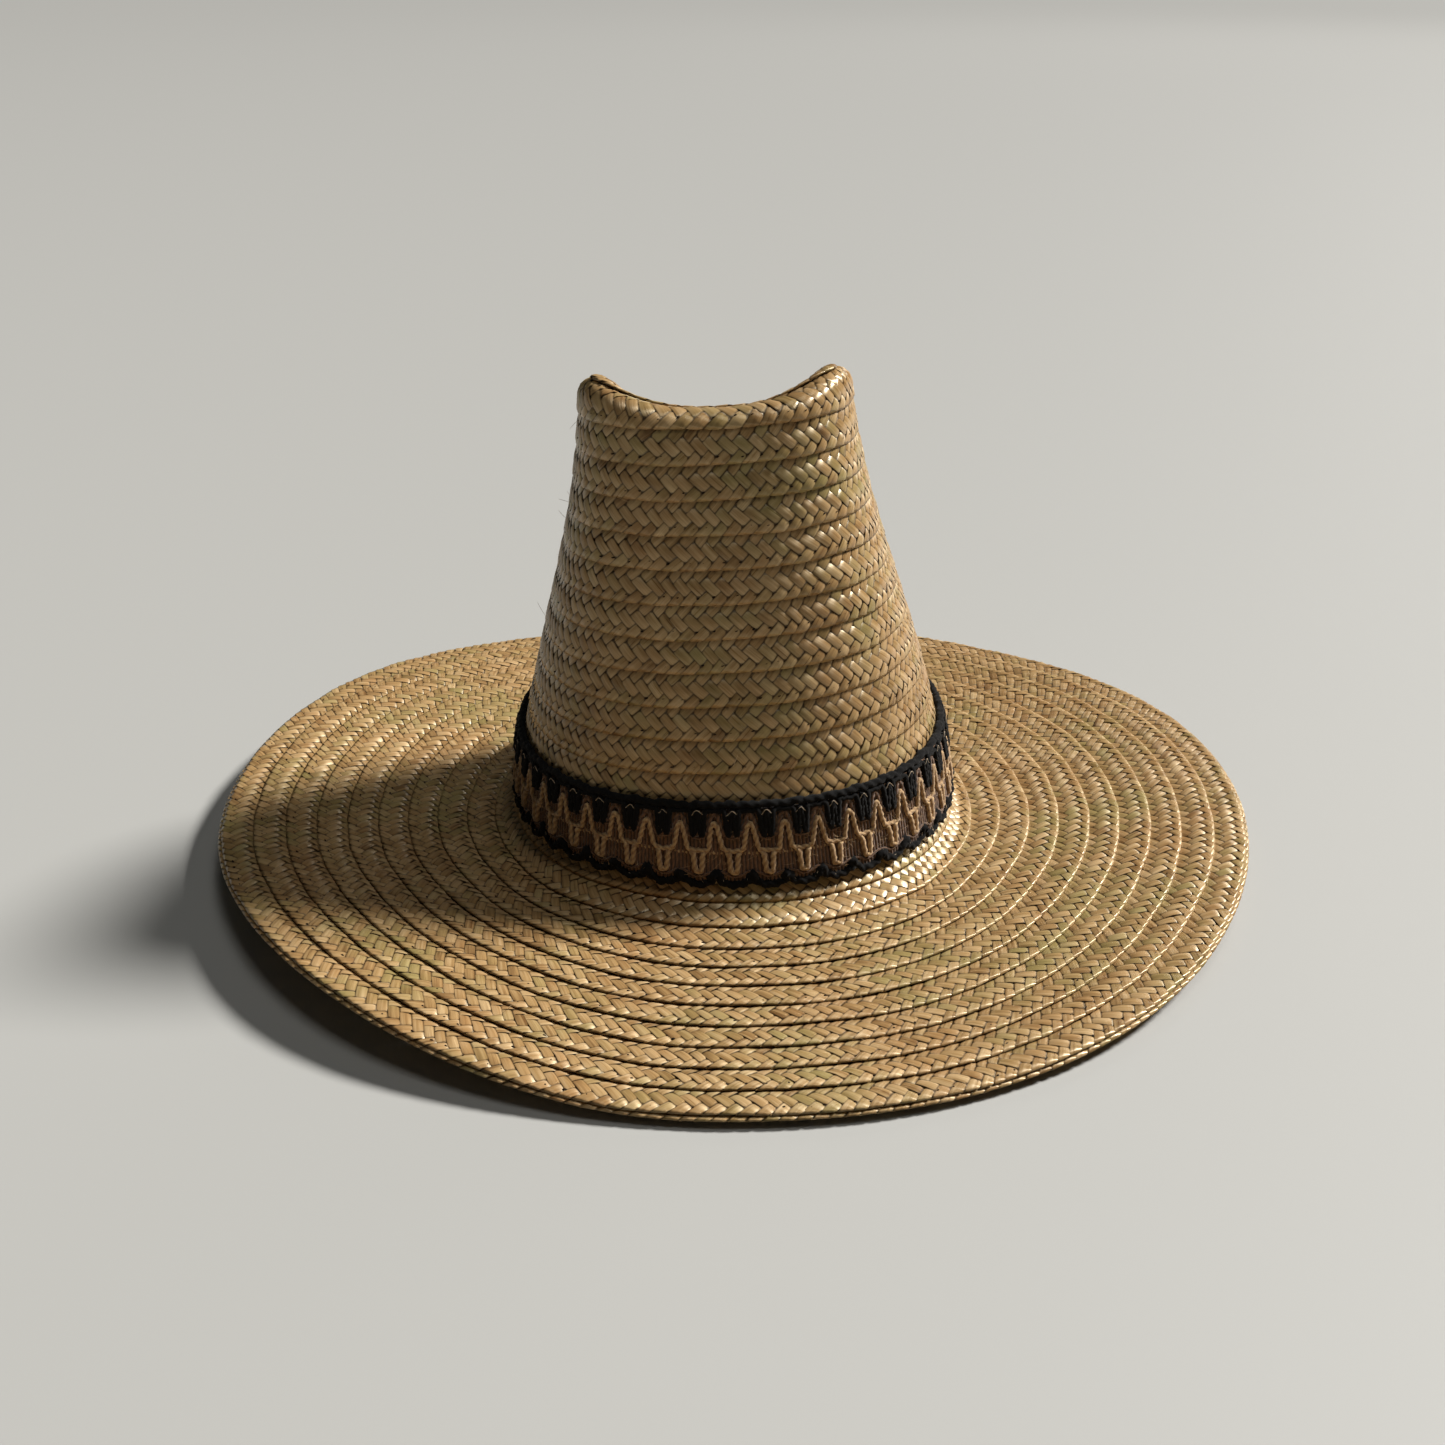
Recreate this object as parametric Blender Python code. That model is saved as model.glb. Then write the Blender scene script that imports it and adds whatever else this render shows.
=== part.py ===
"""Plaited-straw sun hat: creased tapered crown, wide brim, corded woven hatband and inner sweatband.

Units are metres, +Z is up, the hat stands brim-down on the plane z = 0 with its front toward -Y.
"""
import bmesh
import bpy
import numpy as np

# Plait courses
PLAIT_THICKNESS = 0.0011
PLAIT_WIDTH = 0.0153
CROWN_COURSE = 0.0114
BRIM_COURSE = 0.0112
SEW_GAP = 0.0003
CROWN_COURSES = 10
BRIM_COURSES = 11
TIP_LENGTH = 0.0972

# Crown, measured on the inner face of the straw
HEAD_HALF_WIDTH = 0.0795
HEAD_HALF_LENGTH = 0.0830
TOP_HALF_WIDTH = 0.0460
TOP_HALF_LENGTH = 0.0490
WALL_FULL_HEIGHT = 0.1655
SIDE_BELL = 0.6
FRONT_BELL = 0.1
HEAD_SQUARENESS = 2.1
TOP_SQUARENESS = 3.2
CROWN_LEAN = 0.045

# Crease in the crown top
RIDGE_HEIGHT = 0.1745
RIDGE_SLOPE = 0.27
CREASE_DEPTH = 0.0190
CREASE_DEEPENING = 0.067
CREASE_HALF_WIDTH = 0.0420
CREASE_POWER = 2.6
LIP_ROUND = 0.0080

# Brim
BRIM_FILLET = 0.0160
SIDE_LIFT = 0.0125
CORNER_DROP = 0.0035
LEFT_FRONT_LIFT = 0.0140
FRONT_LIFT = 0.0040
REST_SECTOR = 0.20
REST_TURN = 0.12
EDGE_OVERHANG = 0.0012

# Hatband
BAND_LOW = -0.0028
BAND_HEIGHT = 0.0270
BAND_THICKNESS = 0.0016
BAND_REPEATS = 44
CORD_RADIUS = 0.0012
YARN_RADIUS = 0.0007
TAB_LENGTH = 0.0075
TAB_THICKNESS = 0.0009

# Sweatband
SWEATBAND_HEIGHT = 0.0300
SWEATBAND_THICKNESS = 0.0010

# Facets
ROUND_STEPS = 44
PROFILE_STEPS = 600
CORD_SIDES = 6
TIP_PARTS = 3

LAP_RISE = PLAIT_THICKNESS + SEW_GAP
BRIM_REST = PLAIT_THICKNESS + SEW_GAP
MATERIALS = {
    "straw": ((0.52, 0.36, 0.17), 0.55),
    "straw_edge": ((0.47, 0.31, 0.14), 0.60),
    "jute": ((0.26, 0.16, 0.08), 0.95),
    "black_yarn": ((0.015, 0.013, 0.012), 0.90),
    "tan_yarn": ((0.50, 0.36, 0.22), 0.90),
    "sweatband_cloth": ((0.55, 0.50, 0.40), 0.85),
}


def smooth_step(value):
    """Return 3t^2 - 2t^3 for the value clipped to 0..1."""
    t = np.clip(value, 0.0, 1.0)
    return t * t * (3.0 - 2.0 * t)


def oval_radius(angle, half_width, half_length, squareness):
    """Polar radius of the superellipse |x/a|^p + |y/b|^p = 1."""
    across = np.abs(np.cos(angle) / half_width) ** squareness
    along = np.abs(np.sin(angle) / half_length) ** squareness
    return (across + along) ** (-1.0 / squareness)


def wall_radius(angle, height):
    """Polar radius of the crown wall at a height above the rest plane."""
    low = BRIM_REST + BRIM_FILLET
    t = (WALL_FULL_HEIGHT - height) / (WALL_FULL_HEIGHT - low)
    bell = smooth_step(t)
    side = SIDE_BELL * bell + (1.0 - SIDE_BELL) * t
    front = FRONT_BELL * bell + (1.0 - FRONT_BELL) * t
    half_width = TOP_HALF_WIDTH + (HEAD_HALF_WIDTH - TOP_HALF_WIDTH) * side
    half_length = TOP_HALF_LENGTH + (HEAD_HALF_LENGTH - TOP_HALF_LENGTH) * front
    squareness = TOP_SQUARENESS + (HEAD_SQUARENESS - TOP_SQUARENESS) * smooth_step(t)
    return oval_radius(angle, half_width, half_length, squareness)


def top_height(x, y):
    """Height of the creased top: a ridge line falling to the back less a trough across it."""
    across = np.clip(np.abs(x) / CREASE_HALF_WIDTH, 0.0, 1.0)
    trough = (CREASE_DEPTH + CREASE_DEEPENING * y) * (1.0 - across ** CREASE_POWER)
    return RIDGE_HEIGHT - RIDGE_SLOPE * y - trough


def flap(course):
    """Offset of a course's inner side at its free edge."""
    return LAP_RISE * PLAIT_WIDTH / course


def brim_lift(angle):
    """Rise of the brim edge round the hat; nil over the front and back rest sectors."""
    c = np.cos(angle - REST_TURN)
    s = np.sin(angle - REST_TURN)
    share = smooth_step((np.abs(c) - REST_SECTOR) / (1.0 - REST_SECTOR))
    corners = CORNER_DROP * s * s + LEFT_FRONT_LIFT * c * s * s + FRONT_LIFT * s
    return share * (SIDE_LIFT - corners)


def meridian(angle):
    """Inner-face curve at one angle as (radius, height, course coordinate).

    The course coordinate is 0 at the foot of the wall, grows up the wall and over the top to the
    centre, and is negative out along the brim.
    """
    foot = BRIM_REST + BRIM_FILLET
    base = wall_radius(angle, foot)
    lip = WALL_FULL_HEIGHT
    for _ in range(60):
        radius = wall_radius(angle, lip)
        lip = 0.5 * lip + 0.5 * top_height(radius * np.cos(angle), radius * np.sin(angle))
    radius = wall_radius(angle, lip)

    heights = np.linspace(foot, lip - LIP_ROUND, PROFILE_STEPS)
    wall = np.stack([wall_radius(angle, heights), heights], axis=1)
    reach = np.linspace(radius - LIP_ROUND, 0.0, PROFILE_STEPS)
    tip = np.stack([reach, top_height(reach * np.cos(angle), reach * np.sin(angle))], axis=1)
    t = np.linspace(0.0, 1.0, PROFILE_STEPS)[1:-1, None]
    corner = np.array([radius, lip])
    turn = (1.0 - t) ** 2 * wall[-1] + 2.0 * t * (1.0 - t) * corner + t ** 2 * tip[0]
    up = np.concatenate([wall, turn, tip])
    run = np.concatenate([[0.0], np.cumsum(np.hypot(*np.diff(up, axis=0).T))])
    at_lip = np.interp(len(wall) + len(turn) / 2, np.arange(len(run)), run)
    total = CROWN_COURSE * CROWN_COURSES + TIP_LENGTH
    over = at_lip + (run - at_lip) * (total - at_lip) / (run[-1] - at_lip)
    course_up = np.where(run < at_lip, run, over)

    bend = np.linspace(0.0, np.pi / 2.0, PROFILE_STEPS)[1:]
    fillet_r = base + BRIM_FILLET * (1.0 - np.cos(bend))
    fillet_z = foot - BRIM_FILLET * np.sin(bend)
    flat_length = BRIM_COURSE * BRIM_COURSES - BRIM_FILLET * np.pi / 2.0
    flat_r = base + BRIM_FILLET + np.linspace(0.0, flat_length + PLAIT_WIDTH, PROFILE_STEPS)[1:]
    out_r = np.concatenate([fillet_r, flat_r])
    out_z = np.concatenate([fillet_z, np.full(len(flat_r), BRIM_REST)])
    out = np.concatenate([BRIM_FILLET * bend, BRIM_FILLET * np.pi / 2.0 + flat_r - base - BRIM_FILLET])
    reach = BRIM_FILLET + flat_length
    rise = brim_lift(angle) * ((out_r - base) / reach) ** 1.4
    last = np.clip((out_r - base - reach) / PLAIT_WIDTH + 1.0, 0.0, 2.0)
    out_z = out_z + rise - flap(BRIM_COURSE) * last
    return (
        np.concatenate([out_r[::-1], up[:, 0]]),
        np.concatenate([out_z[::-1], up[:, 1]]),
        np.concatenate([-out[::-1], course_up]),
    )


def lean(points):
    """Tip the crown toward -X and raise its +X side, starting at the foot of the wall."""
    foot = BRIM_REST + BRIM_FILLET
    above = np.clip(points[..., 2] - foot, 0.0, None)
    share = smooth_step(above / (2.0 * BAND_HEIGHT))
    leaned = points.copy()
    leaned[..., 0] -= CROWN_LEAN * above
    leaned[..., 2] += CROWN_LEAN * points[..., 0] * share
    return leaned


MERIDIANS = {}


def surface(angle, course, offset):
    """Points at one angle for arrays of course coordinate and offset out from the inner face."""
    key = round(float(angle), 9)
    if key not in MERIDIANS:
        radius, height, along = meridian(angle)
        slope_r = np.gradient(radius)
        slope_z = np.gradient(height)
        length = np.hypot(slope_r, slope_z)
        MERIDIANS[key] = (radius, height, along, slope_z / length, -slope_r / length)
    radius, height, along, normal_r, normal_z = MERIDIANS[key]
    r = np.interp(course, along, radius) + offset * np.interp(course, along, normal_r)
    z = np.interp(course, along, height) + offset * np.interp(course, along, normal_z)
    return lean(np.stack([r * np.cos(angle), r * np.sin(angle), z], axis=-1))


def add_object(name, vertices, faces, material):
    """Make one named solid with its own material and smooth shading."""
    mesh = bpy.data.meshes.new(name)
    mesh.from_pydata([tuple(v) for v in vertices], [], faces)
    solid = bmesh.new()
    solid.from_mesh(mesh)
    bmesh.ops.recalc_face_normals(solid, faces=solid.faces)
    solid.to_mesh(mesh)
    solid.free()
    mesh.materials.append(material)
    mesh.polygons.foreach_set("use_smooth", [True] * len(mesh.polygons))
    bpy.context.collection.objects.link(bpy.data.objects.new(name, mesh))


def make_material(name, slot):
    """Principled material from the slot's colour and roughness."""
    colour, roughness = MATERIALS[slot]
    material = bpy.data.materials.new(name)
    material.use_nodes = True
    shader = material.node_tree.nodes["Principled BSDF"]
    shader.inputs["Base Color"].default_value = (*colour, 1.0)
    shader.inputs["Roughness"].default_value = roughness
    shader.inputs["Metallic"].default_value = 0.0
    return material


def ring_solid(name, slot, loop_at, steps=ROUND_STEPS):
    """Sweep a closed (course, offset) loop once round the hat; loop_at gives the loop per step."""
    rings = []
    for i in range(steps):
        loop = np.array(loop_at(i))
        rings.append(surface(2.0 * np.pi * i / steps, loop[:, 0], loop[:, 1]))
    count = len(rings[0])
    faces = []
    for i in range(steps):
        j = (i + 1) % steps
        for k in range(count):
            m = (k + 1) % count
            faces.append((i * count + k, j * count + k, j * count + m, i * count + m))
    add_object(name, np.concatenate(rings), faces, make_material(name, slot))


def lapped_top(upper, lower, course):
    """Outer face of lapped courses from the upper boundary down to the lower one."""
    tucked = PLAIT_THICKNESS + LAP_RISE * (PLAIT_WIDTH / course - 1.0)
    edges = np.arange(upper, lower - course / 2.0, -course)
    points = [(edges[0], tucked)]
    for edge in edges[1:-1]:
        points.append((edge, tucked + LAP_RISE))
        points.append((edge, tucked))
    points.append((edges[-1], tucked + LAP_RISE))
    return points


def crown_tip():
    """The creased top: courses that run over the lip and in to the centre."""
    foot = CROWN_COURSE * CROWN_COURSES
    total = foot + TIP_LENGTH
    tuck = PLAIT_WIDTH - CROWN_COURSE
    tucked = PLAIT_THICKNESS + LAP_RISE * tuck / CROWN_COURSE
    whole = int(TIP_LENGTH / CROWN_COURSE)
    outer = []
    for k in range(whole):
        edge = foot + k * CROWN_COURSE
        for part in range(TIP_PARTS):
            share = part / TIP_PARTS
            outer.append((edge + share * CROWN_COURSE, tucked + (1.0 - share) * LAP_RISE))
        outer.append((edge + CROWN_COURSE, tucked))
    inner = [(foot, flap(CROWN_COURSE)), (foot + tuck, LAP_RISE), (foot + CROWN_COURSE, 0.0)]
    for part in range(TIP_PARTS + 1, whole * TIP_PARTS + 1):
        inner.append((foot + part * CROWN_COURSE / TIP_PARTS, 0.0))

    loop = np.array(inner[::-1] + outer)
    count = len(loop)
    vertices = []
    for i in range(ROUND_STEPS):
        vertices.append(surface(2.0 * np.pi * i / ROUND_STEPS, loop[:, 0], loop[:, 1]))
    vertices.append(surface(0.0, np.array([total, total]), np.array([0.0, tucked])))
    under_pole = ROUND_STEPS * count
    faces = []
    for i in range(ROUND_STEPS):
        here = i * count
        there = (i + 1) % ROUND_STEPS * count
        for k in range(count - 1):
            faces.append((here + k, there + k, there + k + 1, here + k + 1))
        faces.append((under_pole, there, here))
        faces.append((under_pole + 1, here + count - 1, there + count - 1))
    add_object("crown_tip", np.concatenate(vertices), faces, make_material("crown_tip", "straw"))


def crown_side():
    """The tapered wall: lapped courses from under the tip down to the free edge over the brim."""
    top = CROWN_COURSE * CROWN_COURSES
    tuck = PLAIT_WIDTH - CROWN_COURSE
    outer = lapped_top(top, 0.0, CROWN_COURSE)
    start = [(top + tuck, 0.0), (top + tuck, PLAIT_THICKNESS)]
    foot = [(0.0, flap(CROWN_COURSE)), (tuck, LAP_RISE), (CROWN_COURSE, 0.0)]
    inner = [(CROWN_COURSE * k, 0.0) for k in [2, *range(3, CROWN_COURSES, 2)]]
    loop = start + outer + foot + inner
    ring_solid("crown_side", "straw", lambda i: loop)


def brim():
    """The flat brim: lapped courses from under the wall's free edge out to the brim edge."""
    tuck = PLAIT_WIDTH - CROWN_COURSE
    edge = -BRIM_COURSE * BRIM_COURSES
    step = PLAIT_WIDTH - BRIM_COURSE
    outer = lapped_top(0.0, edge, BRIM_COURSE)
    under = [(edge, flap(BRIM_COURSE))]
    for k in range(BRIM_COURSES - 1, 0, -1):
        under.append((step - BRIM_COURSE * k, LAP_RISE))
        under.append((step - BRIM_COURSE * k, 0.0))
    loop = [(tuck, 0.0), (tuck, PLAIT_THICKNESS)] + outer + under
    ring_solid("brim", "straw", lambda i: loop)


def brim_edge():
    """The second course sewn under the brim edge; its under-face is level and carries the hat."""
    edge = -BRIM_COURSE * BRIM_COURSES
    back = edge + PLAIT_WIDTH
    outward = edge - EDGE_OVERHANG
    over = flap(BRIM_COURSE) * (PLAIT_WIDTH + EDGE_OVERHANG) / PLAIT_WIDTH
    loop = [
        (back, -SEW_GAP),
        (edge, flap(BRIM_COURSE) - SEW_GAP),
        (outward, over - SEW_GAP),
        (outward, over - BRIM_REST),
        (edge, flap(BRIM_COURSE) - BRIM_REST),
        (back, -BRIM_REST),
    ]
    ring_solid("brim_edge", "straw_edge", lambda i: loop)


def sweatband():
    """The strip sewn round the inside of the head opening."""
    low = 0.3 * CROWN_COURSE
    face = -SEW_GAP
    back = face - SWEATBAND_THICKNESS
    stops = [low, CROWN_COURSE, 2.0 * CROWN_COURSE, low + SWEATBAND_HEIGHT]
    loop = [(c, face) for c in stops] + [(c, back) for c in stops[::-1]]
    ring_solid("sweatband", "sweatband_cloth", lambda i: loop)


def hatband():
    """The woven trim: jute web, black tab row, black cords and tan yarn courses."""
    straw_face = PLAIT_THICKNESS + LAP_RISE * PLAIT_WIDTH / CROWN_COURSE + SEW_GAP
    web_face = straw_face + BAND_THICKNESS
    top = BAND_LOW + BAND_HEIGHT
    stops = [BAND_LOW, 0.0, 0.5 * (BAND_LOW + top), top]
    web = [(c, straw_face) for c in stops] + [(c, web_face) for c in stops[::-1]]
    ring_solid("hatband_web", "jute", lambda i: web)

    def cord(name, slot, course, radius, offset):
        angles = np.linspace(0.0, 2.0 * np.pi, CORD_SIDES, endpoint=False)
        loop = np.stack([course + radius * np.cos(angles), offset + radius * np.sin(angles)], axis=1)
        ring_solid(name, slot, lambda i: loop)

    cord_out = straw_face + CORD_RADIUS
    cord("hatband_top_cord", "black_yarn", top + SEW_GAP + CORD_RADIUS, CORD_RADIUS, cord_out)
    cord("hatband_bottom_cord", "black_yarn", BAND_LOW - SEW_GAP - CORD_RADIUS, CORD_RADIUS, cord_out)
    yarn_out = web_face + SEW_GAP + YARN_RADIUS
    cord("hatband_upper_yarn", "tan_yarn", BAND_LOW + 0.58 * BAND_HEIGHT, YARN_RADIUS, yarn_out)
    cord("hatband_lower_yarn", "tan_yarn", BAND_LOW + 0.36 * BAND_HEIGHT, YARN_RADIUS, yarn_out)

    tab_in = web_face + SEW_GAP
    tab_out = tab_in + TAB_THICKNESS

    def tab_loop(i):
        low = top - (TAB_LENGTH if i % 4 in (1, 2) else 0.3 * TAB_LENGTH)
        return [(low, tab_in), (low, tab_out), (top, tab_out), (top, tab_in)]

    ring_solid("hatband_tabs", "black_yarn", tab_loop, steps=4 * BAND_REPEATS)


def main():
    for item in list(bpy.data.objects):
        bpy.data.objects.remove(item, do_unlink=True)
    crown_tip()
    crown_side()
    brim()
    brim_edge()
    sweatband()
    hatband()


main()
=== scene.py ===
"""Plaited palm-straw sun hat built round its packed CAD frame.

Every straw strand, yarn, cord and fibre is its own closed form. All of them lie on one surface, the
inner face of the straw, which is addressed by an angle round the hat, a course coordinate (0 at the foot
of the crown wall, up the wall and over the top to the centre, negative out along the brim) and an offset
out from the face.
"""

import math

import bpy
import numpy as np
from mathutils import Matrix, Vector


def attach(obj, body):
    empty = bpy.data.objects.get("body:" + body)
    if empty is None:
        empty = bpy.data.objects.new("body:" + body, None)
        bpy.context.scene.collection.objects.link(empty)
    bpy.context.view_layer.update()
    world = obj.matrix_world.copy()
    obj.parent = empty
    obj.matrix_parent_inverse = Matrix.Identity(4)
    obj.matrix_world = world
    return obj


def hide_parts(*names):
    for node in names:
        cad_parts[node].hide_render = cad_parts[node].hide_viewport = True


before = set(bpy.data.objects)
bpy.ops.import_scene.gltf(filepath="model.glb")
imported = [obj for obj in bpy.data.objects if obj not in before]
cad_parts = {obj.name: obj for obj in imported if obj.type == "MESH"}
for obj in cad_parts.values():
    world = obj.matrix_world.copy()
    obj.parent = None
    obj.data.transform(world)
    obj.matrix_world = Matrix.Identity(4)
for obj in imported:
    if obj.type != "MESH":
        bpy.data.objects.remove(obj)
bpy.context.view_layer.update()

bl_info = {
    "name": "Plaited Straw Sun Hat",
    "version": (1, 0, 0),
    "blender": (4, 5, 0),
    "location": "View3D > Sidebar > Straw Hat",
    "description": "Builds a plaited palm-straw sun hat with a knitted yarn hatband",
    "category": "Add Mesh",
}

MM = 0.001
TABLE_ANGLES = 720
TABLE_STEP = 0.25 * MM
CURVE_STEPS = 600

# One strand's way across a plait of seven and back: the crossing row, how far the cut across the strand has
# turned from level (0 at a folded edge, 1 square to the strand), its height (1 over, -1 under), and the turn of
# its section in degrees, which rolls over at each folded edge.
HALF_ROWS = (0, 0.3, 0.7, 1.2, 1.5, 1.8, 2.5, 3.2, 3.5, 3.8, 4.5, 5.2, 5.5, 5.8, 6.35, 6.7, 7)
HALF_CUTS = (0, 0.5, 1, 1, 1, 1, 1, 1, 1, 1, 1, 1, 1, 1, 1, 0.5, 0)
HALF_HEIGHTS = (0, -0.8, -1, -0.8, 0, 0.8, 1, 0.8, 0, -0.8, -1, -0.8, 0, 0.8, 1, 0.85, 0)
HALF_TURNS = (-90, -45, 0, 0, 0, 0, 0, 0, 0, 0, 0, 0, 0, 0, 0, 45, 90)
STRAND_ROWS = 7
# A strand's section, over the top and back underneath: across from edge to edge, half thickness, and how open
# to the light it is, as painted shade darkens the thin edges.
SECTION_ACROSS = np.array([1.0, 0.55, -0.55, -1.0, -0.55, 0.55])
SECTION_THICK = np.array([0.0, 1.0, 1.0, 0.0, -1.0, -1.0])
SECTION_UNSHADED = np.array([0.12, 1.0, 1.0, 0.12, 1.0, 1.0])
# Where each point of the section lies round the strand on its maps, across the top and back underneath
SECTION_MAP = np.array([0.0, 0.34, 1.66, 2.0, 2.34, 3.66, 4.0])
STRAND_WIDTH = 3.1 * MM
# The painted shade line under a lapped edge: how far it reaches each side, and how far past the edge it lies
LAP_SHADE = 1.05 * MM
LAP_SHADE_AT = 0.15 * MM
# Length of a strand's cell on the packed map against its width
PACK_ASPECT = 6.9
SWEATBAND_GAP = 0.3 * MM
SWEATBAND_STITCH = 4.0 * MM
# Floor just below the brim's rest, so the two don't fight
FLOOR_DEPTH = 0.02 * MM


def linear(code):
    """Linear RGB of an sRGB hex code."""
    parts = [int(code[i : i + 2], 16) / 255.0 for i in (1, 3, 5)]
    return tuple(c / 12.92 if c <= 0.04045 else ((c + 0.055) / 1.055) ** 2.4 for c in parts)


def size(name, default, description):
    """A length setting in metres."""
    return bpy.props.FloatProperty(
        name=name, default=default, description=description, subtype="DISTANCE", unit="LENGTH", precision=5
    )


def number(name, default, description):
    """A plain number setting."""
    return bpy.props.FloatProperty(name=name, default=default, description=description, precision=4)


def count(name, default, description):
    """A whole-number setting."""
    return bpy.props.IntProperty(name=name, default=default, description=description, min=1)


def colour(name, code, description):
    """A colour setting given as an sRGB hex code."""
    return bpy.props.FloatVectorProperty(
        name=name, default=linear(code), description=description, subtype="COLOR", size=3, min=0.0, max=1.0
    )


class HatShape(bpy.types.PropertyGroup):
    """Sizes of the crown and brim, on the inner face of the straw."""

    head_half_width: size("Head half width", 0.0795, "Half width of the crown at its foot")
    head_half_length: size("Head half length", 0.0830, "Half length of the crown at its foot")
    top_half_width: size("Top half width", 0.0460, "Half width of the crown at its full height")
    top_half_length: size("Top half length", 0.0490, "Half length of the crown at its full height")
    wall_height: size("Wall height", 0.1655, "Height at which the wall's taper ends")
    side_bell: number("Side bell", 0.6, "How much the sides flare in a bell curve")
    front_bell: number("Front bell", 0.1, "How much the front and back flare in a bell curve")
    head_squareness: number("Head squareness", 2.1, "Superellipse power at the foot")
    top_squareness: number("Top squareness", 3.2, "Superellipse power at the top")
    crown_lean: number("Crown lean", 0.045, "Sideways lean of the crown for each metre up")
    ridge_height: size("Ridge height", 0.1745, "Height of the crown's ridges at the centre")
    ridge_slope: number("Ridge slope", 0.27, "Fall of the ridges towards the back")
    crease_depth: size("Crease depth", 0.0190, "Depth of the crease at the centre")
    crease_deepening: number("Crease deepening", 0.067, "Change of the crease's depth along the hat")
    crease_half_width: size("Crease half width", 0.0420, "Half width of the crease")
    crease_power: number("Crease power", 2.6, "Roundness of the crease's section")
    lip_round: size("Lip round", 0.0080, "Length of the rounded lip on each side of the corner")
    brim_fillet: size("Brim fillet", 0.0160, "Radius from the wall into the brim")
    side_lift: size("Side lift", 0.0125, "Rise of the brim's edge at the sides")
    corner_drop: size("Corner drop", 0.0035, "How much less the brim rises off the sides")
    left_front_lift: size("Left front lift", 0.0140, "Extra rise of the brim at the left front")
    front_lift: size("Front lift", 0.0040, "Extra rise of the brim towards the front")
    front_flare: size("Front flare", 0.0178, "How much longer the bend into the brim is at the front")
    front_curl: size("Front curl", 0.0021, "Rise of the brim's edge at the front")
    curl_width: size("Curl width", 0.0250, "Width of the brim that curls up at the front")
    lean_height: size("Lean height", 0.0540, "Height over which the crown starts to lean")
    rest_sector: number("Rest sector", 0.20, "Share of the brim that rests flat")
    rest_turn: number("Rest turn", 0.12, "Turn of the resting sectors in radians")


class HatPlait(bpy.types.PropertyGroup):
    """Sizes of the plait and of the courses it is sewn in."""

    thickness: size("Plait thickness", 0.0011, "Thickness of the pressed plait")
    width: size("Plait width", 0.0153, "Width of the plait")
    pitch: size("Strand pitch", 0.0046, "Distance between strands along the plait")
    strand_half_thickness: size("Strand half thickness", 0.00021, "Half thickness of a strand")
    weave_height: size("Weave height", 0.00042, "How far a strand rises and dips as it crosses others")
    weave_width: size("Weave width", 0.0170, "Width of the plait with the part tucked under")
    camber: size("Plait camber", 0.00050, "How far the middle of a course swells")
    fill: number("Strand fill", 1.01, "Width of a strand against its place in the plait")
    crown_first: size("Crown first edge", 0.0013, "Course coordinate of the crown's lowest edge")
    crown_course: size("Crown course", 0.01165, "Distance between sewn courses on the crown")
    brim_course: size("Brim course", 0.0112, "Distance between sewn courses on the brim")
    sew_gap: size("Sewing gap", 0.0003, "Gap between lapped courses")
    crown_courses: count("Crown courses", 10, "Courses on the crown's wall")
    brim_courses: count("Brim courses", 11, "Courses on the brim")
    tip_length: size("Tip length", 0.0934, "Length of straw from the wall's top course to the centre")
    stitch_spacing: size("Stitch spacing", 0.0065, "Distance between the sewing stitches that show")
    stitch_inset: size("Stitch inset", 0.0026, "Distance of the stitches from a course's free edge")
    edge_overhang: size("Edge overhang", 0.0012, "How far the course under the edge stands out")


class HatBand(bpy.types.PropertyGroup):
    """Sizes of the knitted hatband and the sweatband."""

    low: size("Band foot", -0.0028, "Course coordinate of the band's lower edge")
    height: size("Band height", 0.0270, "Height of the band's ground")
    thickness: size("Band thickness", 0.0016, "Thickness of the band's ground")
    repeats: count("Band repeats", 44, "Repeats of the pattern round the band")
    cord_radius: size("Cord radius", 0.00135, "Radius of the black cords")
    yarn_radius: size("Yarn radius", 0.00082, "Radius of the tan yarn")
    sweatband_height: size("Sweatband height", 0.0300, "Height of the sweatband")
    sweatband_thickness: size("Sweatband thickness", 0.0010, "Thickness of the sweatband")


class HatFinish(bpy.types.PropertyGroup):
    """Colours of the straw and of the yarns."""

    straw_deep: colour("Straw, deep", "#6E5030", "Darkest strands")
    straw_mid: colour("Straw, middle", "#A68659", "Common strands")
    straw_pale: colour("Straw, pale", "#CDB084", "Palest strands")
    straw_green: colour("Straw, green", "#8E8652", "Strands that kept a green cast")
    straw_red: colour("Straw, russet", "#A2754A", "Strands that turned russet")
    # The crevice colour is painted shade where strands dive under, along their thin edges and under lapped edges; the
    # sewing thread also takes it as its darker fibre colour
    straw_crevice: colour("Straw, crevice", "#2A190A", "Dust and shade between the strands")
    jute: colour("Jute", "#7A5638", "Brown ground of the band")
    # The dark jute colour is both the ground's dark fibres and the painted shade in the hollows between its ribs and
    # plies; it is also the sewing thread's own colour
    jute_dark: colour("Jute, dark", "#22160D", "Deep fibres of the band's ground")
    tan_yarn: colour("Tan yarn", "#C4A476", "Light pattern yarn")
    black_yarn: colour("Black yarn", "#0C0A09", "Black cords and tabs")
    pale_thread: colour("Pale thread", "#B8AE98", "Fine thread along the cords")
    cloth: colour("Sweatband cloth", "#B9AA8A", "Woven tape inside the crown")
    floor: colour("Floor", "#A9A9A6", "Painted floor")


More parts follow.
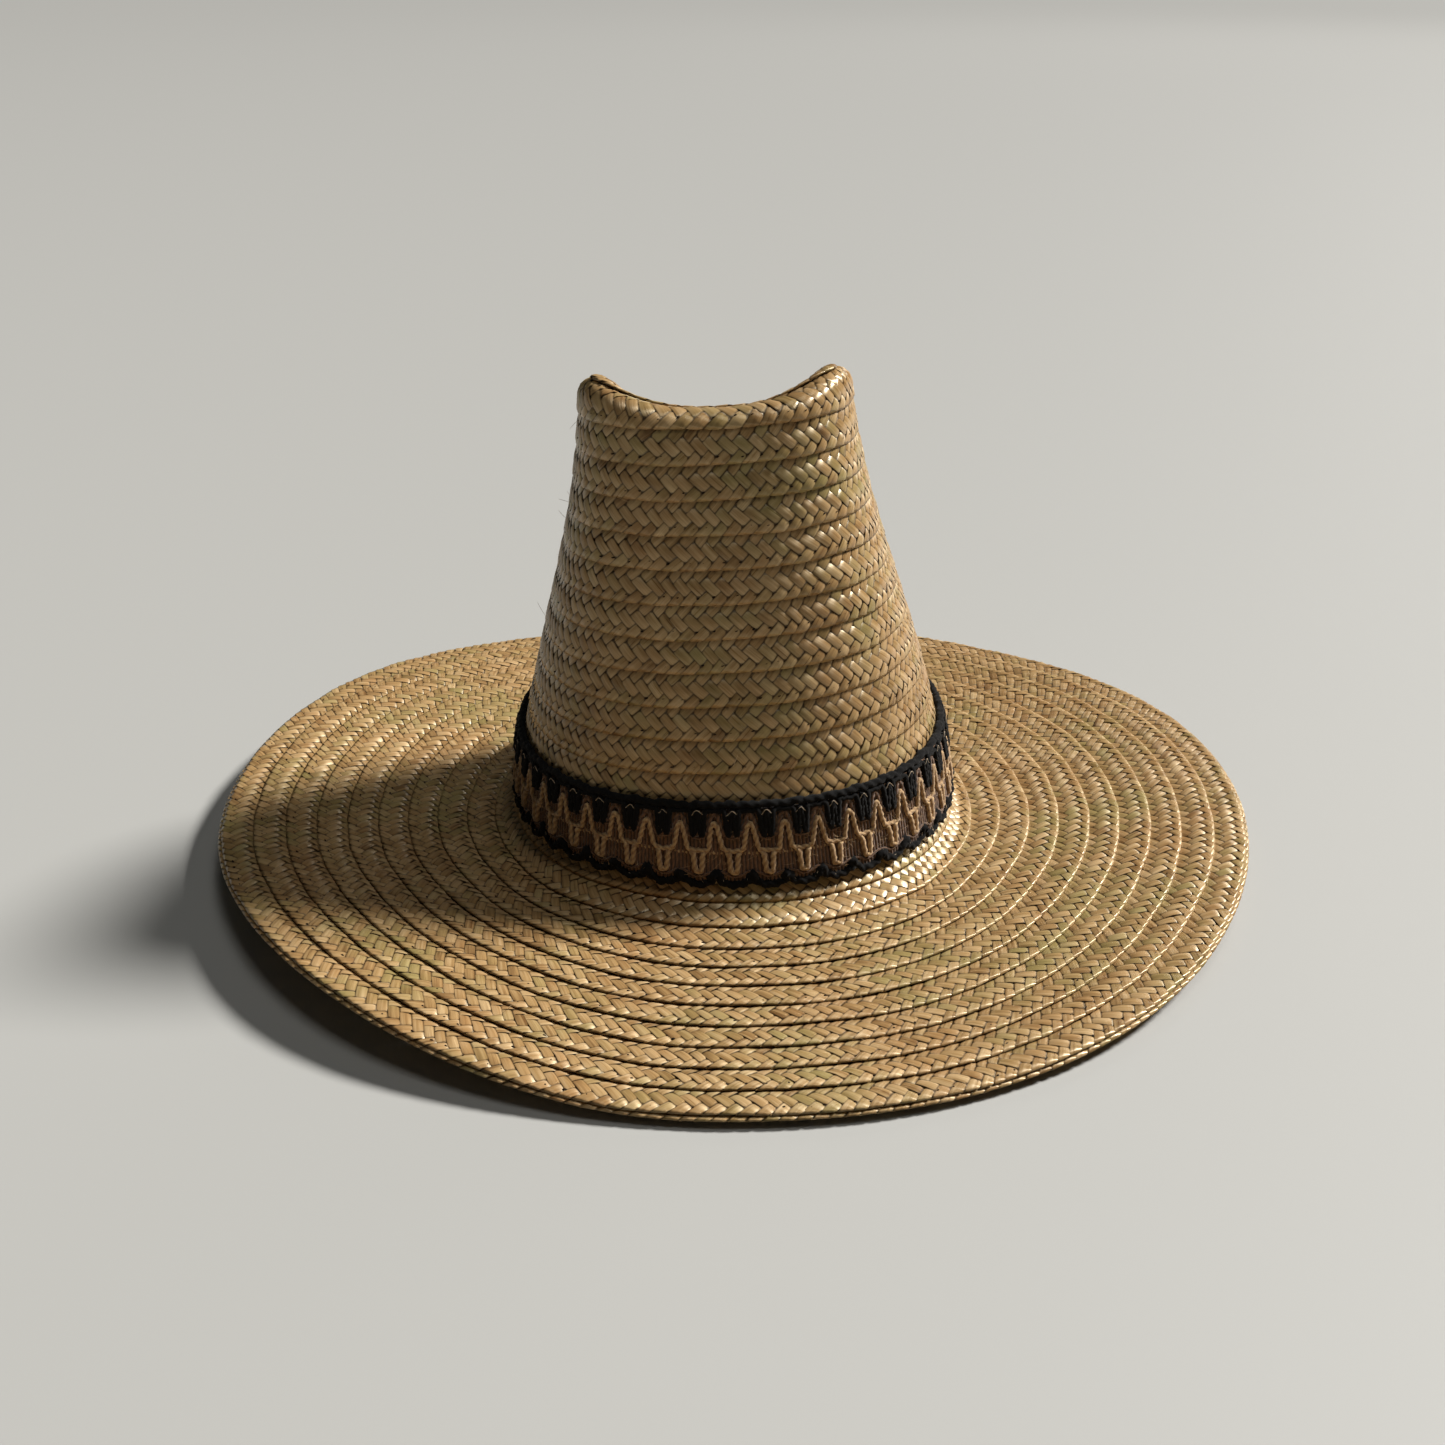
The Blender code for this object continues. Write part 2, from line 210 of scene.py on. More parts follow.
class HatStage(bpy.types.PropertyGroup):
    """Camera and lights."""

    camera_x: size("Camera X", -0.0042, "Camera position")
    camera_y: size("Camera Y", -0.599, "Camera position")
    camera_z: size("Camera Z", 0.3130, "Camera position")
    camera_fall: number("Camera fall", 24.73, "Degrees the camera looks down")
    lens: number("Lens", 42.38, "Focal length in millimetres on a 36 mm sensor")
    floor_size: size("Floor size", 24.0, "Side of the floor")


# The straw's inner face


def smooth_step(value):
    """3t^2 - 2t^3 for the value clipped to 0..1."""
    t = np.clip(value, 0.0, 1.0)
    return t * t * (3.0 - 2.0 * t)


def oval_radius(angle, half_width, half_length, squareness):
    """Polar radius of the superellipse |x/a|^p + |y/b|^p = 1."""
    across = np.abs(np.cos(angle) / half_width) ** squareness
    along = np.abs(np.sin(angle) / half_length) ** squareness
    return (across + along) ** (-1.0 / squareness)


class StrawFace:
    """The inner face of the straw as a table of meridians over angle and course coordinate."""

    def __init__(self, shape, plait):
        self.shape = shape
        self.lap_rise = plait.thickness + plait.sew_gap
        self.rest = self.lap_rise
        self.foot = self.rest + shape.brim_fillet
        self.total = plait.crown_first + plait.crown_course * plait.crown_courses + plait.tip_length
        self.first = -(plait.brim_course * plait.brim_courses + plait.width)
        angle = np.linspace(0.0, 2.0 * np.pi, TABLE_ANGLES, endpoint=False)[:, None]
        radius, height, along = self.meridians(angle, plait)
        slope_r = np.gradient(radius, axis=1)
        slope_z = np.gradient(height, axis=1)
        length = np.hypot(slope_r, slope_z)
        columns = (radius, height, slope_z / length, -slope_r / length)
        courses = np.arange(self.first, self.total + TABLE_STEP, TABLE_STEP)
        # One interpolation for each meridian and column of the table
        self.table = np.stack(
            [np.stack([np.interp(courses, a, c) for a, c in zip(along, column)]) for column in columns], axis=-1
        )

    def wall_radius(self, angle, height):
        """Superellipse whose half sizes and power run from the foot's to the top's, part straight, part bell."""
        s = self.shape
        t = (s.wall_height - height) / (s.wall_height - self.foot)
        bell = smooth_step(t)
        side = s.side_bell * bell + (1.0 - s.side_bell) * t
        front = s.front_bell * bell + (1.0 - s.front_bell) * t
        half_width = s.top_half_width + (s.head_half_width - s.top_half_width) * side
        half_length = s.top_half_length + (s.head_half_length - s.top_half_length) * front
        squareness = s.top_squareness + (s.head_squareness - s.top_squareness) * bell
        return oval_radius(angle, half_width, half_length, squareness)

    def top_height(self, x, y):
        """Ridge height, less its fall to the back, less the trough depth * (1 - |x/w|^p)."""
        s = self.shape
        across = np.clip(np.abs(x) / s.crease_half_width, 0.0, 1.0)
        trough = (s.crease_depth + s.crease_deepening * y) * (1.0 - across**s.crease_power)
        return s.ridge_height - s.ridge_slope * y - trough

    def brim_lift(self, angle):
        """Rise of the brim's edge: nil over the resting sectors, smoothly up to the lift at the sides."""
        s = self.shape
        c = np.cos(angle - s.rest_turn)
        d = np.sin(angle - s.rest_turn)
        share = smooth_step((np.abs(c) - s.rest_sector) / (1.0 - s.rest_sector))
        return share * (s.side_lift - s.corner_drop * d * d - s.left_front_lift * c * d * d - s.front_lift * d)

    def meridians(self, angle, plait):
        """Radius, height and course coordinate along each angle's curve.

        Upwards: the wall to just below the lip, a quadratic Bezier turn, and the creased top to the
        centre. Outwards: a quarter ellipse, longer at the front, and a flat that rises as the lift times
        (distance)^1.4 and curls up at the front edge.
        """
        s = self.shape
        t = np.linspace(0.0, 1.0, CURVE_STEPS)[None, :]
        base = self.wall_radius(angle, self.foot)
        lip = np.full_like(angle, s.wall_height)
        for _ in range(60):
            radius = self.wall_radius(angle, lip)
            lip = 0.5 * lip + 0.5 * self.top_height(radius * np.cos(angle), radius * np.sin(angle))
        radius = self.wall_radius(angle, lip)

        wall_z = self.foot + (lip - s.lip_round - self.foot) * t
        wall_r = self.wall_radius(angle, wall_z)
        tip_r = (radius - s.lip_round) * (1.0 - t)
        tip_z = self.top_height(tip_r * np.cos(angle), tip_r * np.sin(angle))
        b = t[:, 1:-1]
        turn_r = (1.0 - b) ** 2 * wall_r[:, -1:] + 2.0 * b * (1.0 - b) * radius + b**2 * tip_r[:, :1]
        turn_z = (1.0 - b) ** 2 * wall_z[:, -1:] + 2.0 * b * (1.0 - b) * lip + b**2 * tip_z[:, :1]
        up_r = np.concatenate([wall_r, turn_r, tip_r], axis=1)
        up_z = np.concatenate([wall_z, turn_z, tip_z], axis=1)
        run = np.cumsum(np.hypot(np.diff(up_r, axis=1), np.diff(up_z, axis=1)), axis=1)
        run = np.concatenate([np.zeros_like(angle), run], axis=1)
        middle = CURVE_STEPS + (CURVE_STEPS - 2) // 2
        at_lip = run[:, middle : middle + 1]
        over = at_lip + (run - at_lip) * (self.total - at_lip) / (run[:, -1:] - at_lip)
        up = np.where(run < at_lip, run, over)

        front = smooth_step((-np.sin(angle) - 0.5) / 0.5)
        stretch = s.brim_fillet + s.front_flare * front
        bend = np.pi / 2.0 * t
        bend_r = base + stretch * (1.0 - np.cos(bend))
        bend_z = self.foot - s.brim_fillet * np.sin(bend) + np.zeros_like(angle)
        brim_out = plait.brim_course * plait.brim_courses
        flat_r = bend_r[:, -1:] + (brim_out + plait.width) * t[:, 1:]
        out_r = np.concatenate([bend_r, flat_r], axis=1)
        out_z = np.concatenate([bend_z, np.full_like(flat_r, self.rest)], axis=1)
        out = np.cumsum(np.hypot(np.diff(out_r, axis=1), np.diff(out_z, axis=1)), axis=1)
        # How far out the brim's edge lies: the bend's own length, read at its end, is used up before the flat
        reach = stretch + brim_out - out[:, CURVE_STEPS - 2 : CURVE_STEPS - 1]
        out_r, out_z = out_r[:, 1:], out_z[:, 1:]
        beyond = out_r - base - reach
        rise = self.brim_lift(angle) * ((out_r - base) / reach) ** 1.4
        rise = rise + s.front_curl * front * smooth_step(beyond / s.curl_width + 1.0)
        last = np.clip(beyond / plait.width + 1.0, 0.0, 2.0)
        out_z = out_z + rise - self.flap(plait, plait.brim_course) * last
        return (
            np.concatenate([out_r[:, ::-1], up_r], axis=1),
            np.concatenate([out_z[:, ::-1], up_z], axis=1),
            np.concatenate([-out[:, ::-1], up], axis=1),
        )

    def flap(self, plait, course):
        """Offset of a course's inner side at its free edge."""
        return self.lap_rise * plait.width / course

    def place(self, angle, course, offset):
        """Points for arrays of angle, course coordinate and offset, by bilinear reading of the table."""
        angle, course, offset = np.broadcast_arrays(angle, course, offset)
        turn = np.mod(angle / (2.0 * np.pi), 1.0) * TABLE_ANGLES
        i = np.floor(turn).astype(int) % TABLE_ANGLES
        j = (i + 1) % TABLE_ANGLES
        a = (turn - np.floor(turn))[..., None]
        along = np.clip((course - self.first) / TABLE_STEP, 0.0, self.table.shape[1] - 1.001)
        k = np.floor(along).astype(int)
        b = (along - k)[..., None]
        low = (1.0 - a) * self.table[i, k] + a * self.table[j, k]
        high = (1.0 - a) * self.table[i, k + 1] + a * self.table[j, k + 1]
        r, z, normal_r, normal_z = np.moveaxis((1.0 - b) * low + b * high, -1, 0)
        r = r + offset * normal_r
        z = z + offset * normal_z
        x = r * np.cos(angle)
        above = np.clip(z - self.foot, 0.0, None)
        share = smooth_step(above / self.shape.lean_height)
        lean = self.shape.crown_lean
        return np.stack([x - lean * above, r * np.sin(angle), z + lean * x * share], axis=-1)

    def ring(self, course, offset=0.0):
        """Angles once round the hat and the length run along a course coordinate at each."""
        angles = np.linspace(0.0, 2.0 * np.pi, 4 * TABLE_ANGLES + 1)
        points = self.place(angles, course, offset)
        steps = np.linalg.norm(np.diff(points, axis=0), axis=1)
        return angles, np.concatenate([[0.0], np.cumsum(steps)])


FACES = {}


def straw_face(context):
    """The face for the current settings, worked out once."""
    if "face" not in FACES:
        FACES["face"] = StrawFace(context.scene.hat_shape, context.scene.hat_plait)
    return FACES["face"]


def hat_settings(context):
    """The face and the settings of the plait, the band and the finishes."""
    scene = context.scene
    return straw_face(context), scene.hat_plait, scene.hat_band, scene.hat_finish


def ripple(position, period, height, cycles, seed):
    """Sum of sines with whole numbers of cycles in the period, each at its own phase."""
    phases = np.random.default_rng(seed).uniform(0.0, 2.0 * np.pi, len(cycles))
    waves = [np.sin(2.0 * np.pi * n * position / period + p) for n, p in zip(cycles, phases)]
    return height * sum(waves) / math.sqrt(len(cycles))


# Meshes


def add_piece(name, points, faces, material, nodes, uvs=None, look=None):
    """Make one smooth-shaded object that rides on the body; faces is a list of index arrays."""
    points = np.asarray(points, dtype=np.float64).reshape(-1, 3)
    flat = np.concatenate([f.reshape(-1) for f in faces])
    starts, at = [], 0
    for f in faces:
        starts.append(at + np.arange(len(f)) * f.shape[1])
        at += f.size
    # Signed volume: a sum of corner . (next x last) over fan triangles, below zero when inside out
    volume = 0.0
    for f in faces:
        for k in range(1, f.shape[1] - 1):
            a, b, c = points[f[:, 0]], points[f[:, k]], points[f[:, k + 1]]
            volume += np.einsum("ij,ij->", a, np.cross(b, c))
    if volume < 0.0:
        turned = [f[:, ::-1] for f in faces]
        flat = np.concatenate([f.reshape(-1) for f in turned])
        if uvs:
            uvs = {key: [u[:, ::-1] for u in value] for key, value in uvs.items()}
    mesh = bpy.data.meshes.new(name)
    mesh.vertices.add(len(points))
    mesh.vertices.foreach_set("co", points.ravel())
    mesh.loops.add(len(flat))
    mesh.loops.foreach_set("vertex_index", flat.astype(np.int32))
    mesh.polygons.add(sum(len(f) for f in faces))
    mesh.polygons.foreach_set("loop_start", np.concatenate(starts).astype(np.int32))
    mesh.update(calc_edges=True)
    mesh.shade_smooth()
    for key, value in (uvs or {}).items():
        layer = mesh.uv_layers.new(name=key, do_init=False)
        layer.uv.foreach_set("vector", np.concatenate([u.reshape(-1) for u in value]).astype(np.float32))
    if look is not None:
        attribute = mesh.attributes.new("look", "FLOAT_VECTOR", "POINT")
        attribute.data.foreach_set("vector", np.asarray(look, dtype=np.float32).ravel())
    if mesh.validate(verbose=False):
        raise RuntimeError(f"{name} has faulty faces")
    mesh.materials.append(material)
    piece = bpy.data.objects.new(name, mesh)
    bpy.context.scene.collection.objects.link(piece)
    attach(piece, "root")
    if nodes:
        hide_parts(*nodes)
    return piece


def grid_faces(rows, columns, close_rows, close_columns, first=0):
    """Quads of a grid of points, closed round in either direction where asked."""
    index = first + np.arange(rows * columns).reshape(rows, columns)
    down = np.roll(index, -1, axis=0)
    right = np.roll(index, -1, axis=1)
    both = np.roll(down, -1, axis=1)
    quads = np.stack([index, down, both, right], axis=-1)
    return quads[: rows if close_rows else rows - 1, : columns if close_columns else columns - 1].reshape(-1, 4)


def link_noise(rng, strands, steps, knots):
    """Random knots along each strand's cycle, joined to the cycle that it runs on into, read at each step."""
    values = rng.uniform(-1.0, 1.0, (strands, knots))
    after = values[(np.arange(strands) - STRAND_ROWS) % strands, :1]
    values = np.concatenate([values, after], axis=1)
    at = np.arange(steps) * knots / steps
    k = at.astype(int)
    return values[:, k] * (1.0 - (at - k)) + values[:, k + 1] * (at - k)


def plait_course(face, plait, edge, width, inner, outer, seed, calm=1.0, covered=None):
    """One sewn course: a closed ring of strands that fold at both edges and cross over two, under two.

    With row r across the plait and g the turn of the cut, a strand's point at x (-1..1) across it lies at
    (2i - r + x(1 - g/2)) half pitches along and r + gx/2 rows across on the way out, and mirrored on the way
    back. Its height is the weave height times the row's, and its section is a flat lens. inner and outer are
    the plait's middle offsets at the tucked and at the free edge. covered is how far the next course laps
    over this one, and painted shade lies along that line.
    """
    angles, run = face.ring(edge + 0.6 * width, inner)
    around = run[-1]
    strands = max(STRAND_ROWS + 1, round(around / plait.pitch))
    row = width / STRAND_ROWS
    half = around / (2.0 * strands)
    rng = np.random.default_rng(seed)

    rows = np.array(HALF_ROWS + HALF_ROWS[-2:0:-1], dtype=float)
    cuts = np.array(HALF_CUTS + HALF_CUTS[-2:0:-1], dtype=float)
    heights = np.array(HALF_HEIGHTS + tuple(-h for h in HALF_HEIGHTS[-2:0:-1]))
    turns = np.radians(HALF_TURNS + tuple(180 - t for t in HALF_TURNS[-2:0:-1]))
    steps = len(rows)
    out = np.arange(steps) < len(HALF_ROWS) - 1
    side = np.where(out, 1.0, -1.0)
    back = np.where(out, -rows, rows - 2.0 * STRAND_ROWS)

    fill = plait.fill * (1.0 + 0.05 * link_noise(rng, strands, steps, 8))[..., None]
    sway = 0.10 * link_noise(rng, strands, steps, 8)[..., None]
    lifted = 1.0 + 0.25 * link_noise(rng, strands, steps, 8)[..., None]
    tilt = 0.00016 * link_noise(rng, strands, steps, 8)[..., None]
    x = SECTION_ACROSS * fill
    thick = SECTION_THICK * plait.strand_half_thickness

    i = np.arange(strands)[:, None, None]
    along = (2.0 * i + back[:, None] + sway + x * (1.0 - cuts[:, None] / 2.0)) * half
    v = (rows[:, None] + side[:, None] * x * cuts[:, None] / 2.0) * row + thick * np.sin(turns)[:, None]
    rise = heights[:, None] * plait.weave_height * lifted + tilt * x + thick * np.cos(turns)[:, None]
    fine = [int(around / w) for w in (0.021, 0.034, 0.055)]
    broad = [max(2, int(around / w)) for w in (0.07, 0.13, 0.24)]
    along = along + ripple(along, around, 0.0005 * calm, fine, seed + 1)
    shift = ripple(along, around, 0.00022 * calm, fine + broad, seed + 2)
    puff = ripple(along, around, 0.00010 * calm, fine, seed + 3)
    swell = plait.camber * calm * np.clip(np.sin(np.pi * (v / width - 0.18) / 0.82), 0.0, 1.0) ** 2
    offset = inner + (outer - inner) * v / width + rise + puff + swell
    angle = np.interp(np.mod(along, around), run, angles)
    points = face.place(angle, edge + width - v + shift, offset)

    tone = 0.5 + 0.36 * link_noise(rng, strands, steps, 8) + 0.20 * link_noise(rng, strands, steps, 2)
    hue = 0.5 + 0.40 * link_noise(rng, strands, steps, 4)
    # Painted shade: darker where a strand dives under its neighbours and along its thin edges
    unshaded_rows = np.where(rows > STRAND_ROWS - 0.5, 1.0, np.clip(np.abs(heights) / 0.8, 0.0, 1.0))
    unshaded_share = unshaded_rows[:, None] * SECTION_UNSHADED
    # Painted shade along the line under the next course's lapped edge
    if covered is not None:
        unshaded_share = unshaded_share * np.clip(np.abs(v - covered - LAP_SHADE_AT) / LAP_SHADE, 0.10, 1.0)
    shape = points.shape[:3]
    look = np.stack(
        [
            np.broadcast_to(tone[..., None], shape),
            np.broadcast_to(hue[..., None], shape),
            np.broadcast_to(unshaded_share, shape),
        ],
        axis=-1,
    )
    reach = np.hypot(np.diff(np.append(rows, 0.0)) * row, np.diff(np.append(rows, 0.0)) * half)
    return {"points": points, "look": look, "path": np.concatenate([[0.0], np.cumsum(reach)])}


def lapped_course(face, plait, edge, width, course, seed):
    """A course whose free edge laps the next one: its inner side rises by the lap in each course width."""
    outer = 0.5 * plait.thickness + face.flap(plait, course)
    inner = outer - face.lap_rise * width / course
    return plait_course(face, plait, edge, width, inner, outer, seed, covered=width - course)


def woven_piece(name, courses, material, nodes, seed):
    """Join courses into one piece, with a map along and across each strand and one flat packed map."""
    strips = sum(len(c["points"]) for c in courses)
    wide = math.ceil(math.sqrt(PACK_ASPECT * strips))
    tall = math.ceil(strips / wide)
    rng = np.random.default_rng(seed)
    quads, fibre, packed = [], [], []
    first = done = 0
    for course in courses:
        strands, steps, section = course["points"].shape[:3]
        index = first + np.arange(strands * steps * section).reshape(strands, steps, section)
        after = index[(np.arange(strands) - STRAND_ROWS) % strands, :1]
        onward = np.concatenate([index[:, 1:], after], axis=1)
        quads.append(np.stack([index, onward, np.roll(onward, -1, 2), np.roll(index, -1, 2)], -1).reshape(-1, 4))
        path = course["path"]
        here, there = path[:-1][:, None], path[1:][:, None]
        left, right = SECTION_MAP[:-1][None, :], SECTION_MAP[1:][None, :]
        corner_u = np.stack(np.broadcast_arrays(here, there, there, here), -1)
        corner_v = np.stack(np.broadcast_arrays(left, left, right, right), -1)
        start_u = rng.uniform(0.0, 1.0, strands)[:, None, None, None]
        start_v = rng.uniform(0.0, 1.0, strands)[:, None, None, None]
        fibre_u = corner_u[None] + start_u
        fibre_v = corner_v[None] * 0.5 * STRAND_WIDTH + start_v
        fibre.append(np.stack(np.broadcast_arrays(fibre_u, fibre_v), -1).reshape(-1, 4, 2))
        strip = done + np.arange(strands)
        column = (strip % wide)[:, None, None, None]
        level = (strip // wide)[:, None, None, None]
        packed_u = (column + 0.04 + 0.92 * corner_v[None] / 4.0) / wide
        packed_v = (level + 0.01 + 0.98 * corner_u[None] / path[-1]) / tall
        packed.append(np.stack(np.broadcast_arrays(packed_u, packed_v), -1).reshape(-1, 4, 2))
        first += index.size
        done += strands
    piece = add_piece(
        name,
        np.concatenate([c["points"].reshape(-1, 3) for c in courses]),
        [np.concatenate(quads)],
        material,
        nodes,
        {"Fibre": fibre, "OFBake": packed},
        np.concatenate([c["look"].reshape(-1, 3) for c in courses]),
    )
    # The thin sides of a strand stay crisp
    ends = np.empty(2 * len(piece.data.edges), dtype=np.int32)
    piece.data.edges.foreach_get("vertices", ends)
    first_side, last_side = ends.reshape(-1, 2).T % len(SECTION_ACROSS)
    crisp = (first_side == last_side) & (SECTION_THICK[first_side] == 0.0)
    piece.data.attributes.new("sharp_edge", "BOOLEAN", "EDGE").data.foreach_set("value", crisp)
    return piece


def sweep(face, angle, course, offset, radius, sides, plies=2, twist=0.0, ply_depth=0.0, fuzz=0.0, seed=1):
    """Closed tube about a path on the hat, of radius * (1 + depth * cos(plies * psi - turns)).

    turns grows along the path by a full circle in each twist length, so the plies wind round it.
    """
    points = face.place(angle, course, offset)
    lifted = face.place(angle, course, np.asarray(offset) + 0.5 * MM)
    forward = np.roll(points, -1, axis=0) - np.roll(points, 1, axis=0)
    forward /= np.linalg.norm(forward, axis=1, keepdims=True)
    normal = lifted - points
    normal -= np.einsum("ij,ij->i", normal, forward)[:, None] * forward
    normal /= np.linalg.norm(normal, axis=1, keepdims=True)
    across = np.cross(forward, normal)
    run = np.concatenate([[0.0], np.cumsum(np.linalg.norm(np.diff(points, axis=0), axis=1))])
    whole = round(run[-1] / twist) if twist else 0
    turns = (2.0 * np.pi * whole * run / run[-1])[:, None]
    psi = np.linspace(0.0, 2.0 * np.pi, sides, endpoint=False)[None, :]
    rng = np.random.default_rng(seed)
    rough = 1.0 + fuzz * rng.uniform(-1.0, 1.0, (len(points), sides))
    wave = np.cos(plies * (psi - turns / plies))
    r = radius * (1.0 + ply_depth * wave) * rough
    out = np.cos(psi)[..., None] * normal[:, None] + np.sin(psi)[..., None] * across[:, None]
    ring = points[:, None] + r[..., None] * out
    ply = 0.5 + 0.5 * wave
    return ring, ply


def tube_piece(name, tubes, material, nodes):
    """Join closed tubes into one piece; the look attribute carries the height of the plies, for painted shade between
    them.
    """
    faces, points, look = [], [], []
    first = 0
    for ring, ply in tubes:
        faces.append(grid_faces(ring.shape[0], ring.shape[1], True, True, first))
        points.append(ring.reshape(-1, 3))
        flat = ply.reshape(-1)
        look.append(np.stack([flat, flat, flat], -1))
        first += ring.shape[0] * ring.shape[1]
    return add_piece(
        name, np.concatenate(points), [np.concatenate(faces)], material, nodes, None, np.concatenate(look)
    )


def hairs(name, roots, middles, tips, radius, material, slot, nodes=()):
    """Thin three-sided fibres along quadratic curves, drawn to a point at both ends."""
    t = np.array([0.08, 0.35, 0.65, 0.92])[None, :, None]
    root, middle, tip = roots[:, None], middles[:, None], tips[:, None]
    spine = (1 - t) ** 2 * root + 2 * t * (1 - t) * middle + t**2 * tip
    forward = tip - root
    forward = forward / np.linalg.norm(forward, axis=2, keepdims=True)
    side = np.cross(forward, np.array([0.31, 0.52, 0.80]))
    side /= np.linalg.norm(side, axis=2, keepdims=True)
    other = np.cross(forward, side)
    psi = np.linspace(0.0, 2.0 * np.pi, 3, endpoint=False)
    thick = radius * np.array([0.8, 1.0, 1.0, 0.6])
    around = np.cos(psi)[:, None] * side[:, :, None] + np.sin(psi)[:, None] * other[:, :, None]
    body = spine[:, :, None] + thick[None, :, None, None] * around
    number_of, steps, sides = body.shape[:3]
    index = np.arange(number_of * steps * sides).reshape(number_of, steps, sides)
    quads = np.stack(
        [index[:, :-1], index[:, 1:], np.roll(index[:, 1:], -1, 2), np.roll(index[:, :-1], -1, 2)], -1
    ).reshape(-1, 4)
    low = index.size + np.arange(number_of)[:, None]
    high = low + number_of
    start = index[:, 0]
    end = index[:, -1]
    caps = np.concatenate(
        [
            np.stack([np.broadcast_to(low, start.shape), start, np.roll(start, -1, 1)], -1).reshape(-1, 3),
            np.stack([np.broadcast_to(high, end.shape), np.roll(end, -1, 1), end], -1).reshape(-1, 3),
        ]
    )
    points = np.concatenate([body.reshape(-1, 3), roots, tips])
    look = np.full((len(points), 3), 0.7)
    return add_piece(name, points, [quads, caps], material, nodes, None, look)


# Finishes


def add_node(tree, kind, settings=None, links=None):
    """Add one node, set its own properties or its inputs' values, and link its inputs."""
    node = tree.nodes.new(kind)
    for key, value in (settings or {}).items():
        if isinstance(key, int) or key in node.inputs:
            node.inputs[key].default_value = value
        else:
            setattr(node, key, value)
    for key, source in (links or {}).items():
        tree.links.new(source, node.inputs[key])
    return node


def new_material(name):
    """Empty node material and its tree."""
    material = bpy.data.materials.new(name)
    material.use_nodes = True
    material.node_tree.nodes.clear()
    return material, material.node_tree


def rgba(value):
    """A colour setting as four numbers."""
    return (*value, 1.0)


